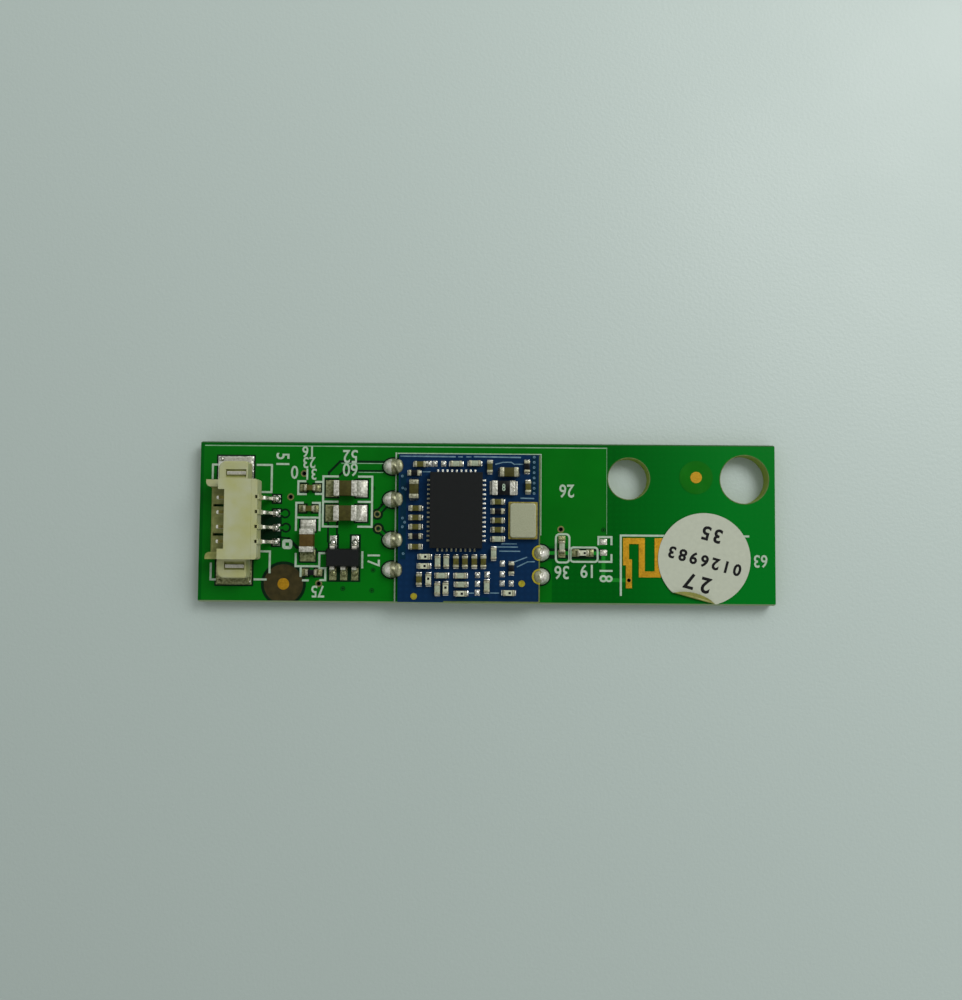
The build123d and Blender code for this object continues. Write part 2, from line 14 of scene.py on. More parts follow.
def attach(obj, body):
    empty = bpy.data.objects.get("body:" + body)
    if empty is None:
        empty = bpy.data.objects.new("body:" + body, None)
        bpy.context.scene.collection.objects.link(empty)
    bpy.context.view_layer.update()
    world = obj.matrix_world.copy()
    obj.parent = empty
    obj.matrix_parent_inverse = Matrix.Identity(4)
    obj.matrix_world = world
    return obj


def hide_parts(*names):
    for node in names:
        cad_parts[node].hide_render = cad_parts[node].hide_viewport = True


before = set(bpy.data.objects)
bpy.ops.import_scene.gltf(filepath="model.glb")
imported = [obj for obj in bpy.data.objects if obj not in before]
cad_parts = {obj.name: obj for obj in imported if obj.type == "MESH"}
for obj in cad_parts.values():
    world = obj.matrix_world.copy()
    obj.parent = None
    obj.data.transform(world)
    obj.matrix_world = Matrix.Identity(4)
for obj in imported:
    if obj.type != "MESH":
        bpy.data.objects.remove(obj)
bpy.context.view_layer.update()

bl_info = {
    "name": "Wifi Module Looks",
    "version": (1, 0, 0),
    "blender": (4, 5, 0),
    "location": "3D View > Sidebar > Wifi Module",
    "description": "Dresses the packed wifi module with its masks, print, solder and parts",
    "category": "Object",
}

MM = 0.001
UP = Vector((0, 0, 1))
MIX_A, MIX_B, MIX_OUT = 6, 7, 2     # colour sockets of a Mix node


def hex_colour(text):
    """An sRGB hex value as linear red, green and blue."""
    parts = [int(text[i:i + 2], 16) / 255 for i in (1, 3, 5)]
    return tuple(p / 12.92 if p <= 0.04045 else ((p + 0.055) / 1.055) ** 2.4 for p in parts)


# ---- Settings that a user would change


class WifiBoardSettings(bpy.types.PropertyGroup):
    mask_on_copper: FloatVectorProperty(
        name="Mask on copper", description="Green mask where copper lies under it",
        subtype="COLOR", size=3, min=0, max=1, default=hex_colour("#066411"))
    mask_on_laminate: FloatVectorProperty(
        name="Mask on laminate", description="Green mask on bare glass epoxy",
        subtype="COLOR", size=3, min=0, max=1, default=hex_colour("#00520F"))
    blue_mask: FloatVectorProperty(
        name="Blue mask", description="Mask of the radio board",
        subtype="COLOR", size=3, min=0, max=1, default=hex_colour("#0D2847"))
    laminate: FloatVectorProperty(
        name="Laminate", description="Bare glass epoxy at the cut edges",
        subtype="COLOR", size=3, min=0, max=1, default=hex_colour("#869A42"))
    film: FloatProperty(
        name="Mask step", description="Height of one step in the mask over copper",
        unit="LENGTH", subtype="DISTANCE", min=0, default=0.006 * MM)


class WifiPrintSettings(bpy.types.PropertyGroup):
    ink: FloatVectorProperty(
        name="Ink", description="Printed lines and numbers on the green board",
        subtype="COLOR", size=3, min=0, max=1, default=hex_colour("#A1B6A0"))
    line_width: FloatProperty(
        name="Line width", description="Width of a printed line",
        unit="LENGTH", subtype="DISTANCE", min=0, default=0.175 * MM)
    number_height: FloatProperty(
        name="Number height", description="Height of a printed number",
        unit="LENGTH", subtype="DISTANCE", min=0, default=1.15 * MM)


class WifiPartSettings(bpy.types.PropertyGroup):
    nylon: FloatVectorProperty(
        name="Header nylon", description="Moulded header housing",
        subtype="COLOR", size=3, min=0, max=1, default=hex_colour("#A1A485"))
    moulded_edge: FloatProperty(
        name="Moulded edge", description="Rounding of the header housing's edges, held back by its shortest ones",
        unit="LENGTH", subtype="DISTANCE", min=0, default=0.06 * MM)
    chip_edge: FloatProperty(
        name="Chip edge", description="Rounding of a ceramic chip's edges",
        unit="LENGTH", subtype="DISTANCE", min=0, default=0.035 * MM)


class WifiStickerSettings(bpy.types.PropertyGroup):
    paper: FloatVectorProperty(
        name="Paper", description="Printed side of the sticker",
        subtype="COLOR", size=3, min=0, max=1, default=hex_colour("#AAAF9D"))
    reverse: FloatVectorProperty(
        name="Reverse", description="Glued side, seen on the folded edge",
        subtype="COLOR", size=3, min=0, max=1, default=hex_colour("#8A8A3C"))
    top_row: StringProperty(name="Top row", description="Plain numbers, top row", default="35")
    middle_row: StringProperty(name="Middle row", description="Plain numbers, middle row", default="0126983")
    bottom_row: StringProperty(name="Bottom row", description="Plain numbers, bottom row", default="27")


class WifiStageSettings(bpy.types.PropertyGroup):
    table: FloatVectorProperty(
        name="Table", description="Pale table top under the module",
        subtype="COLOR", size=3, min=0, max=1, default=hex_colour("#B0BDB8"))
    lamp_power: FloatProperty(
        name="Lamp power", description="Large soft lamp at the upper right, in watts",
        min=0, default=0.48)
    room_light: FloatProperty(
        name="Room light", description="Strength of the even light of the room",
        min=0, default=0.7)


SETTINGS = {
    "wifi_board": WifiBoardSettings,
    "wifi_print": WifiPrintSettings,
    "wifi_parts": WifiPartSettings,
    "wifi_sticker": WifiStickerSettings,
    "wifi_stage": WifiStageSettings,
}


# ---- What the frame says


def merged_copy(node):
    """A CAD node's mesh in millimetres, its loose triangles joined and its flat faces whole."""
    drawn = bmesh.new()
    drawn.from_mesh(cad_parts[node].data)
    bmesh.ops.scale(drawn, vec=(1 / MM,) * 3, verts=drawn.verts)
    bmesh.ops.remove_doubles(drawn, verts=drawn.verts, dist=0.001)
    bmesh.ops.dissolve_limit(drawn, angle_limit=math.radians(2), verts=drawn.verts, edges=drawn.edges)
    return drawn


def cad_solids(node):
    """The lowest and highest corner of each solid in a CAD node, in millimetres."""
    drawn = merged_copy(node)
    waiting = set(drawn.verts)
    boxes = []
    while waiting:
        grown = [waiting.pop()]
        for vert in grown:
            for edge in vert.link_edges:
                other = edge.other_vert(vert)
                if other in waiting:
                    waiting.remove(other)
                    grown.append(other)
        places = [vert.co for vert in grown]
        boxes.append((Vector(map(min, *places)), Vector(map(max, *places))))
    drawn.free()
    return sorted(boxes, key=lambda box: (round(box[0].x, 2), round(box[0].y, 2)))


def nodes_named(start):
    return sorted(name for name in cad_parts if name.startswith(start))


BOARD_LOW, BOARD_HIGH = cad_solids("main_board")[0]
MODULE_LOW, MODULE_HIGH = cad_solids("module_board")[0]
TOP = BOARD_HIGH.z
MODULE_TOP = MODULE_HIGH.z


# ---- Drawing helpers, in millimetres


def paint(verts, finish):
    for face in {face for vert in verts for face in vert.link_faces}:
        face.material_index = finish


def block(drawn, low, high, finish, soften=0.0, steps=2):
    """A block between two corners, its edges rounded where asked."""
    low, high = Vector(low), Vector(high)
    place = Matrix.Translation((low + high) / 2) @ Matrix.Diagonal((*(high - low), 1))
    verts = bmesh.ops.create_cube(drawn, size=1, matrix=place)["verts"]
    paint(verts, finish)
    if soften:
        bevel(drawn, list(dict.fromkeys(edge for vert in verts for edge in vert.link_edges)), soften, steps)


def bar(drawn, start, end, width, low, high, finish):
    """A flat strip along a line, squared off half its width past both ends."""
    start, end = Vector(start), Vector(end)
    run = end - start
    place = Matrix.Translation((*((start + end) / 2), (low + high) / 2))
    place @= Matrix.Rotation(math.atan2(run.y, run.x), 4, "Z")
    place @= Matrix.Diagonal((run.length + width, width, high - low, 1))
    paint(bmesh.ops.create_cube(drawn, size=1, matrix=place)["verts"], finish)


def line(drawn, points, width, low, high, finish=0):
    """Strips from point to point, each a hair higher than the last so that no two faces coincide."""
    for step, (start, end) in enumerate(zip(points, points[1:])):
        bar(drawn, start, end, width, low, high + 0.0002 * (step % 3), finish)


def bevel(part, edges, width, steps):
    bmesh.ops.bevel(part, geom=edges, offset=width, segments=steps, affect="EDGES", profile=0.5, material=-1)


def everything(part):
    return part.verts[:] + part.edges[:] + part.faces[:]


def raise_faces(part, faces, step):
    """Extrudes faces by a step into a closed body."""
    grown = bmesh.ops.extrude_face_region(part, geom=faces)["geom"]
    bmesh.ops.translate(part, vec=step, verts=[item for item in grown if isinstance(item, bmesh.types.BMVert)])
    bmesh.ops.recalc_face_normals(part, faces=part.faces)


def pierced_sheet(drawn, low, high, holes, radius, bottom, top):
    """A thin block with round holes through it."""
    part = bmesh.new()
    middle = (Vector(low) + Vector(high)) / 2
    size = Vector(high) - Vector(low)
    place = Matrix.Translation((*middle, bottom)) @ Matrix.Diagonal((*size, 1, 1))
    bmesh.ops.create_grid(part, x_segments=1, y_segments=1, size=0.5, matrix=place)
    bmesh.ops.delete(part, geom=part.faces[:], context="FACES_ONLY")
    for hole in holes:
        if low[0] < hole[0] < high[0] and low[1] < hole[1] < high[1]:
            place = Matrix.Translation((*hole, bottom))
            bmesh.ops.create_circle(part, cap_ends=False, segments=24, radius=radius, matrix=place)
    bmesh.ops.triangle_fill(part, edges=part.edges[:], use_beauty=True, normal=UP)
    raise_faces(part, part.faces[:], UP * (top - bottom))
    join(drawn, part, 0)


def disc(drawn, centre, radius, low, high, finish=0, segments=32):
    place = Matrix.Translation((centre[0], centre[1], (low + high) / 2))
    made = bmesh.ops.create_cone(
        drawn, cap_ends=True, segments=segments, radius1=radius, radius2=radius, depth=high - low, matrix=place)
    paint(made["verts"], finish)


def spun(drawn, centre, section, finish, steps):
    """A closed section of (radius, height) points, spun once round an upright axis."""
    corners = [drawn.verts.new((centre[0] + r, centre[1], z)) for r, z in section]
    edges = [drawn.edges.new(pair) for pair in zip(corners, corners[1:] + corners[:1])]
    before = set(drawn.faces)
    bmesh.ops.spin(
        drawn, geom=corners + edges, cent=(*centre[:2], 0), axis=UP, dvec=(0, 0, 0),
        angle=math.tau, steps=steps, use_merge=True, use_duplicate=False)
    made = [face for face in drawn.faces if face not in before]
    for face in made:
        face.material_index = finish
    bmesh.ops.recalc_face_normals(drawn, faces=made)


def ring(drawn, centre, inner, outer, low, high, finish=0, steps=28):
    spun(drawn, centre, [(inner, low), (outer, low), (outer, high), (inner, high)], finish, steps)


def rounded_line(drawn, low, high, corner, width, bottom, top):
    """A printed rectangle with round corners, drawn as one closed line."""
    part = bmesh.new()
    spots = [(low[0], low[1]), (high[0], low[1]), (high[0], high[1]), (low[0], high[1])]
    corners = [part.verts.new((x, y, bottom)) for x, y in spots]
    part.faces.new(corners)
    bmesh.ops.bevel(part, geom=corners, offset=corner, segments=6, affect="VERTICES", profile=0.5, material=-1)
    rim = bmesh.ops.inset_region(
        part, faces=part.faces, thickness=width, use_even_offset=True, use_boundary=True)["faces"]
    middle = [face for face in part.faces if face not in rim]
    bmesh.ops.delete(part, geom=middle, context="FACES")
    raise_faces(part, part.faces[:], UP * (top - bottom))
    join(drawn, part, 0)


def dome(drawn, centre, length, width, height, finish=0, segments=16):
    """The upper half of a ball, stretched to a size."""
    part = bmesh.new()
    bmesh.ops.create_uvsphere(part, u_segments=segments, v_segments=segments // 2 * 2, radius=1)
    flat = bmesh.ops.bisect_plane(
        part, geom=everything(part), plane_co=(0, 0, 0.001), plane_no=UP, clear_inner=True)["geom_cut"]
    bmesh.ops.contextual_create(part, geom=[g for g in flat if isinstance(g, bmesh.types.BMEdge)])
    bmesh.ops.transform(
        part, matrix=Matrix.Translation(centre) @ Matrix.Diagonal((length / 2, width / 2, height, 1)), verts=part.verts)
    bmesh.ops.recalc_face_normals(part, faces=part.faces)
    join(drawn, part, finish)


def mesh_of(name, drawn):
    """A drawing as a mesh of its own; the drawing ends here."""
    mesh = bpy.data.meshes.new(name)
    drawn.to_mesh(mesh)
    drawn.free()
    return mesh


def put(name, data):
    """A new object in the scene."""
    made = bpy.data.objects.new(name, data)
    bpy.context.scene.collection.objects.link(made)
    return made


def join(drawn, part, finish=None):
    """Adds a part drawn by itself."""
    if finish is not None:
        paint(part.verts, finish)
    mesh = mesh_of("part", part)
    drawn.from_mesh(mesh)
    bpy.data.meshes.remove(mesh)


def numbers(drawn, text, height, centre, turn, bottom, thickness, finish=0, squeeze=0.85, weight=0.02, spread=1.0):
    """Plain numbers as a thin print, centred on a place and turned by degrees."""
    curve = bpy.data.curves.new("numbers", "FONT")
    curve.body = text
    curve.size = height / 0.72      # digits stand 0.72 of the font's size
    curve.space_character = spread
    curve.align_x = "CENTER"
    curve.align_y = "CENTER"
    curve.resolution_u = 3
    curve.offset = weight
    curve.extrude = thickness / 2
    holder = bpy.data.objects.new("numbers", curve)
    mesh = bpy.data.meshes.new_from_object(holder)
    place = Matrix.Translation((*centre, bottom + thickness / 2)) @ Matrix.Rotation(math.radians(turn), 4, "Z")
    mesh.transform(place @ Matrix.Diagonal((squeeze, 1, 1, 1)))
    part = bmesh.new()
    part.from_mesh(mesh)
    join(drawn, part, finish)
    bpy.data.objects.remove(holder)
    bpy.data.curves.remove(curve)
    bpy.data.meshes.remove(mesh)


def add_piece(name, drawn, finishes, replaces=(), soften=0.0, smooth=42):
    """Makes a drawing in millimetres a piece of the part, on its one body."""
    bmesh.ops.scale(drawn, vec=(MM,) * 3, verts=drawn.verts)
    mesh = mesh_of(name, drawn)
    for finish in finishes:
        mesh.materials.append(finish_of(finish))
    mesh.shade_smooth()
    mesh.set_sharp_from_angle(angle=math.radians(smooth))
    piece = put(name, mesh)
    if soften:
        edge = piece.modifiers.new("Soft edges", "BEVEL")
        edge.width = soften
        edge.segments = 3
        edge.limit_method = "ANGLE"
        edge.angle_limit = math.radians(30)
        edge.harden_normals = True
    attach(piece, "root")
    if replaces:
        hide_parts(*replaces)
    return piece


def dress_node(node, finish):
    """Gives a CAD node that stays as it is its finish."""
    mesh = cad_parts[node].data
    mesh.materials.clear()
    mesh.materials.append(finish_of(finish))


# ---- Finishes


def feed(tree, node, inputs):
    """Gives each named socket of a node its value, or the output that feeds it."""
    for socket, value in dict(inputs).items():
        if isinstance(value, bpy.types.NodeSocket):
            tree.links.new(value, node.inputs[socket])
        else:
            node.inputs[socket].default_value = value


def add_node(tree, kind, inputs=(), **settings):
    """Adds a node with its inputs and settings, and gives back its outputs."""
    made = tree.nodes.new(kind)
    for key, value in settings.items():
        setattr(made, key, value)
    feed(tree, made, inputs)
    return made.outputs


def wander(tree, place, grain, low=0.0, high=1.0):
    """A value between low and high that wanders over a grain size in millimetres."""
    noise = add_node(tree, "ShaderNodeTexNoise", {"Vector": place, "Scale": 1 / (grain * MM), "Detail": 3.0})
    return add_node(tree, "ShaderNodeMapRange", {
        "Value": noise[0], "From Min": 0.3, "From Max": 0.7, "To Min": low, "To Max": high})[0]


def new_finish(name, metallic=0.0, sockets=()):
    """An empty material with its shader and Object coordinates."""
    material = bpy.data.materials.new(name)
    material.use_nodes = True
    tree = material.node_tree
    shader = tree.nodes["Principled BSDF"]
    feed(tree, shader, {"Metallic": metallic, **dict(sockets)})
    return material, tree, shader, add_node(tree, "ShaderNodeTexCoord")["Object"]


def rgba(colour, gain=1.0):
    return (*(min(1.0, c * gain) for c in colour), 1.0)


def surfaced(tree, shader, tone, roughness, height, relief):
    """Feeds a shader its tone, its roughness and a relief in millimetres."""
    bump = add_node(tree, "ShaderNodeBump", {"Height": height, "Distance": relief * MM, "Strength": 1.0})
    feed(tree, shader, {"Base Color": tone, "Roughness": roughness, "Normal": bump[0]})


def grained(name, one, other, grain, relief, smooth, rough, metallic=0.0, sockets=()):
    """A finish whose colour and gloss wander between two tones and two roughnesses."""
    material, tree, shader, place = new_finish(name, metallic, sockets)
    ends = {key: rgba(hex_colour(end)) if isinstance(end, str) else end for key, end in ((MIX_A, one), (MIX_B, other))}
    tone = add_node(tree, "ShaderNodeMix", {0: wander(tree, place, grain), **ends}, data_type="RGBA")[MIX_OUT]
    roughness = wander(tree, place, grain * 1.7, smooth, rough)
    surfaced(tree, shader, tone, roughness, wander(tree, place, grain * 0.5), relief)
    return material


def woven(tree, place, pitch):
    """Glass cloth seen through resin: yarns both ways, as a share between 0 and 1."""
    yarns = [
        add_node(tree, "ShaderNodeTexWave", {
            "Vector": place, "Scale": math.pi / (10 * pitch * MM), "Distortion": 0.6, "Detail": 1.0,
            "Detail Scale": 0.3}, bands_direction=direction)["Fac"]
        for direction in ("X", "Y")]
    return add_node(tree, "ShaderNodeMath", dict(enumerate(yarns)), operation="MULTIPLY")[0]


# Cured epoxy mask: glossy, with a weak mirror image for its tint drinks most of the light.
MASK_SHINE = {"Specular IOR Level": 0.13}
CLOTH_PITCH = 0.55      # of the glass yarns
PLY_PITCH = 0.2
PAINTED_LIGHT_SPAN = (11, 21)     # where the mask's painted light begins and ends, along x: the mask is painted brighter towards the right end
SCORED = ("#94A47E", "#34562E")     # front edge, and the rear edge painted darker as painted shade


def masked_board(name, mask, weave, lit_tone):
    """Solder mask over FR-4: mask on the flat faces, glass epoxy on the walls and the scored edges, the rear scored
    edge painted darker as painted shade.

    The cloth's weave shows faintly through, and the mask is painted brighter towards the right end, as painted light.
    """
    look = bpy.context.scene.wifi_board
    mask, laminate = getattr(look, mask), look.laminate
    material, tree, shader, place = new_finish(name, sockets=MASK_SHINE)
    cloth = woven(tree, place, CLOTH_PITCH)
    along = add_node(tree, "ShaderNodeSeparateXYZ", {0: place})["X"]
    # Painted light: the mask's tone grows brighter along x towards the right end.
    start, end = PAINTED_LIGHT_SPAN
    lit_share = add_node(tree, "ShaderNodeMapRange", {"Value": along, "From Min": start * MM, "From Max": end * MM})[0]
    plies = add_node(tree, "ShaderNodeTexWave", {
        "Vector": place, "Scale": math.pi / (10 * PLY_PITCH * MM), "Distortion": 1.5, "Detail": 2.0},
        bands_direction="Z")["Fac"]
    facing = add_node(tree, "ShaderNodeSeparateXYZ", {0: add_node(tree, "ShaderNodeTexCoord")["Normal"]})
    steep = add_node(tree, "ShaderNodeMath", {0: facing["Z"]}, operation="ABSOLUTE")[0]
    flat, scored, rear = (
        add_node(tree, "ShaderNodeMath", {0: value, 1: limit}, operation="GREATER_THAN")[0]
        for value, limit in ((steep, 0.99), (steep, 0.1), (facing["Y"], 0.0)))
    tones = {"painted light mask": rgba(hex_colour(lit_tone))}
    for made, share, one, other in (        # each tone lies between two others, by a share
        ("cloth", cloth, rgba(mask, 1 - weave), rgba(mask, 1 + weave)),
        ("mask", lit_share, "cloth", "painted light mask"),
        ("plies", plies, rgba(laminate, 0.84), rgba(laminate, 1.06)),
        # the rear-facing scored edge takes the darker tone: painted shade
        ("score", rear, *(rgba(hex_colour(tone)) for tone in SCORED)),
        ("wall", scored, "plies", "score"),
        ("board", flat, "wall", "mask"),
    ):
        ends = {MIX_A: tones.get(one, one), MIX_B: tones.get(other, other)}
        tones[made] = add_node(tree, "ShaderNodeMix", {0: share, **ends}, data_type="RGBA")[MIX_OUT]
    rough = add_node(tree, "ShaderNodeMapRange", {"Value": flat, "To Min": 0.75, "To Max": 0.2})[0]
    surfaced(tree, shader, tones["board"], rough, cloth, 0.0015)
    return material


def table_top(name):
    """Coated board, laid as a table top: pale grey-green, satin, with painted shade that makes it a little darker
    towards the lower left.
    """
    tone = bpy.context.scene.wifi_stage.table
    material, tree, shader, place = new_finish(name)
    apart = add_node(tree, "ShaderNodeSeparateXYZ", {0: place})
    # Painted shade: the table's tone darkens along x plus y towards the lower left and lightens towards the upper
    # right.
    lean = add_node(tree, "ShaderNodeMath", {0: apart["X"], 1: apart["Y"]}, operation="ADD")[0]
    share = add_node(tree, "ShaderNodeMapRange", {"Value": lean, "From Min": -80 * MM, "From Max": 60 * MM})[0]
    mixed = add_node(tree, "ShaderNodeMix", {
        0: share, MIX_A: rgba(tone, 0.81), MIX_B: rgba(tone, 1.0)}, data_type="RGBA")[MIX_OUT]
    surfaced(tree, shader, mixed, wander(tree, place, 18, 0.42, 0.5), wander(tree, place, 0.3), 0.008)
    return material


def moulded_nylon(name):
    """Polyamide 66, injection moulded: ivory, satin, a little warmer where it met the oven."""
    ivory = bpy.context.scene.wifi_parts.nylon
    warm = (ivory[0] * 0.92, ivory[1] * 0.9, ivory[2] * 0.55)
    glow = {"Subsurface Weight": 0.08, "Subsurface Radius": (0.6 * MM, 0.5 * MM, 0.3 * MM), "Subsurface Scale": 1.0}
    return grained(name, rgba(ivory), rgba(warm), 1.6, 0.004, 0.4, 0.55, sockets=glow)


# Boards: the mask's setting, the strength of the weave in it, and its tone at the right end, where it is painted
# brighter as painted light.
BOARD_FINISHES = {
    "carrier_glass_epoxy": ("mask_on_laminate", 0.05, "#00691A"),
    "module_glass_epoxy": ("blue_mask", 0.08, "#0D2847"),
}

# Finishes whose tone is a setting: its group and name and the share of it that the second tone has, then the
# values from the grain on, as below.
SETTING_FINISHES = {
    # Solder mask over the copper pour: brighter and smoother, for the metal throws light back.
    "mask_over_copper": ("wifi_board", "mask_on_copper", 0.84, 3.5, 0.002, 0.16, 0.24, 0.0, MASK_SHINE),
    # Screened epoxy ink: flat off-white, thin enough to let a little green through.
    "printed_ink": ("wifi_print", "ink", 0.78, 0.25, 0.003, 0.5, 0.65),
    # Coated label paper: matt white with a faint fibre grain.
    "label_paper": ("wifi_sticker", "paper", 0.93, 0.35, 0.002, 0.55, 0.7),
    # Glued reverse of the label: yellowed acrylic glue on translucent backing, shinier in patches.
    "label_reverse": ("wifi_sticker", "reverse", 0.55, 0.5, 0.004, 0.3, 0.6),
}

# Two tones, grain and relief in millimetres, the two roughnesses between which the gloss wanders, and metallic.
GRAINED_FINISHES = {
    # Mask over etched-away copper: the darkest green, a shallow channel round each land.
    "mask_in_channels": ("#072412", "#051C0C", 0.8, 0.001, 0.2, 0.3, 0.0, MASK_SHINE),
    # Thin mask over a trace that carries the aerial's signal: the palest green.
    "mask_over_trace": ("#187E24", "#14701E", 1.0, 0.001, 0.2, 0.3, 0.0, MASK_SHINE),
    # Bare FR-4 round an alignment mark: brown glass epoxy with the cloth in it.
    "bare_glass_epoxy": ("#3A331A", "#2B2712", 0.5, 0.002, 0.35, 0.5, 0.0, MASK_SHINE),
    # Translucent mask over bare laminate, round the other alignment mark.
    "mask_over_opening": ("#0C640A", "#0A5C08", 1.5, 0.001, 0.2, 0.3, 0.0, MASK_SHINE),
    # Bare FR-4 at a routed rim: olive, dull.
    "routed_rim": ("#5C6A2C", "#40501E", 0.3, 0.004, 0.6, 0.8),
    # Pale line along the copper's edge: a painted highlight where the mask step catches the light.
    "mask_edge_line": ("#7FA683", "#6B9470", 0.5, 0.001, 0.3, 0.4),
    # The same painted highlight along traces and round vias on the blue board.
    "blue_edge_line": ("#6B8A9A", "#456878", 0.4, 0.001, 0.3, 0.4),
    # Teal mask over copper on the radio board.
    "blue_mask_over_copper": ("#062A3C", "#052232", 1.2, 0.002, 0.2, 0.3, 0.0, MASK_SHINE),
    # Electroless nickel, immersion gold on copper: warm, satin, slightly grainy.
    "immersion_gold": ("#D8A530", "#C08E20", 0.15, 0.002, 0.34, 0.46, 1.0),
    # The same gold painted darker on the right-hand mark: painted shade against the lamp's reflection.
    "worn_immersion_gold": ("#B08826", "#9C761A", 0.15, 0.002, 0.4, 0.5, 0.9),
    # The same on the radio board, thinner and greener under flux.
    "pale_immersion_gold": ("#C9BC3E", "#B0A22C", 0.15, 0.002, 0.34, 0.46, 0.9),
    # Gold land seen through thin solder: olive, with a soft shine.
    "thinly_soldered_gold": ("#A4A588", "#68694A", 0.3, 0.012, 0.32, 0.48, 0.65),
    # Gold ring of a small hole, dulled by flux and half covered by mask.
    "flux_dulled_gold": ("#7C7C40", "#565A28", 0.15, 0.003, 0.4, 0.55, 0.4),
    # Inside of a plated hole and a ring round its mouth: near black, painted shade of the deep bore.
    "tarnished_barrel": ("#1C1208", "#0E0A05", 0.1, 0.003, 0.5, 0.7),
    # Tin-lead alloy, reflowed: bright, with soft dimples where it froze.
    "reflowed_solder": ("#DEDED6", "#8C8C80", 0.3, 0.014, 0.16, 0.36, 1.0),
    # The same alloy frozen with a frosted skin: pale, satin, white all over.
    "frosted_solder": ("#D8D7CC", "#8E8D7E", 0.26, 0.018, 0.24, 0.4, 0.5),
    # The same alloy at a pad's toe, painted bright: a painted highlight on the rows that face the light.
    "bright_toe_solder": ("#F0F0E6", "#BEBEB0", 0.2, 0.01, 0.2, 0.32, 0.35),
    # The same alloy heaped on a half hole: whiter where it froze last.
    "heaped_solder": ("#EDECE2", "#A3A294", 0.34, 0.014, 0.22, 0.38, 0.45),
    # The same alloy under rosin flux: olive, dull.
    "fluxed_solder": ("#9A9D74", "#52542E", 0.2, 0.014, 0.26, 0.5, 0.8),
    # Matt tin, electroplated: grey-white and satin.
    "matt_tin_plating": ("#E2E0D4", "#C2C0B0", 0.12, 0.003, 0.3, 0.42, 1.0),
    # The same tin, nearly white at the pins' tips: a painted highlight.
    "rubbed_tin_plating": ("#F0EFE4", "#D2D1C4", 0.12, 0.002, 0.25, 0.35, 0.25),
    # Nylon deep in the mouth and in the nail slots, painted olive: painted shade.
    "yellowed_nylon": ("#8E9250", "#6E7234", 0.5, 0.004, 0.5, 0.65),
    # Tinned brass darkened to olive: painted shade of the housing over the pins.
    "shaded_tinned_brass": ("#8C8438", "#6A6426", 0.3, 0.003, 0.4, 0.55, 0.4),
    # Silver-palladium end cap dipped in tin, dulled by flux.
    "fired_end_cap": ("#B6B59D", "#7C7B62", 0.18, 0.008, 0.3, 0.5, 0.7),
    # Barium titanate ceramic, pressed and fired: matt olive brown.
    "pressed_brown_ceramic": ("#52501F", "#403E16", 0.2, 0.004, 0.5, 0.65, 0.0, MASK_SHINE),
    # The larger grade of it: a darker brown.
    "pressed_umber_ceramic": ("#413F18", "#343110", 0.3, 0.004, 0.5, 0.65, 0.0, MASK_SHINE),
    # The output capacitor's batch: a redder brown.
    "pressed_russet_ceramic": ("#50401A", "#423212", 0.3, 0.004, 0.5, 0.65, 0.0, MASK_SHINE),
    # Ferrite chip coil: pale grey-green ceramic.
    "ferrite_grey_ceramic": ("#98A28A", "#7E8670", 0.2, 0.004, 0.45, 0.6),
    # Alumina filter chip: cream, satin.
    "alumina_cream_ceramic": ("#BCC0A6", "#A0A48A", 0.2, 0.004, 0.45, 0.6),
    # Glazed black film of a chip resistor: smooth, glossy.
    "black_glaze": ("#17181A", "#0F1012", 0.3, 0.002, 0.22, 0.34, 0.0, MASK_SHINE),
    # Epoxy mould compound: near black, with a fine matt texture.
    "moulded_epoxy": ("#171919", "#0F1111", 0.06, 0.003, 0.42, 0.55, 0.0, MASK_SHINE),
    # Gold-plated seal ring on a ceramic base.
    "gold_seal_ring": ("#A89C50", "#7E7436", 0.2, 0.002, 0.34, 0.46, 0.8),
    # Nickel-plated lid, rolled and stamped: pale, faintly brushed.
    "stamped_nickel": ("#A4A78C", "#94977C", 0.1, 0.002, 0.38, 0.5, 0.5),
    # Thermal-transfer ink on the label.
    "label_ink": ("#08090A", "#0E0F10", 0.2, 0.001, 0.5, 0.65, 0.0, MASK_SHINE),
}


def finish_of(name):
    """A finish by name, made on first use."""
    found = bpy.data.materials.get(name)
    if found:
        return found
    if name in BOARD_FINISHES:
        return masked_board(name, *BOARD_FINISHES[name])
    if name in SETTING_FINISHES:
        group, field, share, *rest = SETTING_FINISHES[name]
        tone = getattr(getattr(bpy.context.scene, group), field)
        return grained(name, rgba(tone), rgba(tone, share), *rest)
    return moulded_nylon(name) if name == "moulded_nylon" else grained(name, *GRAINED_FINISHES[name])


# ---- Lands and chips


def chip_ends(box):
    """The two ends of a chip: the middle of each end's foot and the way it faces."""
    low, high = box
    middle = (low + high) / 2
    along = Vector((1, 0, 0)) if high.x - low.x > high.y - low.y else Vector((0, 1, 0))
    half = (high - low).dot(along) / 2
    foot = Vector((middle.x, middle.y, low.z))
    return [(foot + side * half * along, side * along) for side in (-1, 1)]


def chip_width(box):
    low, high = box
    return min(high.x - low.x, high.y - low.y)


def end_box(foot, out, width, reach, inner):
    """Low and high corner, at the foot's height, from inside a chip's end to reach beyond it."""
    across = Vector((abs(out.y), abs(out.x), 0)) * width / 2
    near, far = foot - out * inner, foot + out * reach
    corners = [near - across, near + across, far - across, far + across]
    return Vector(map(min, *corners)), Vector(map(max, *corners))


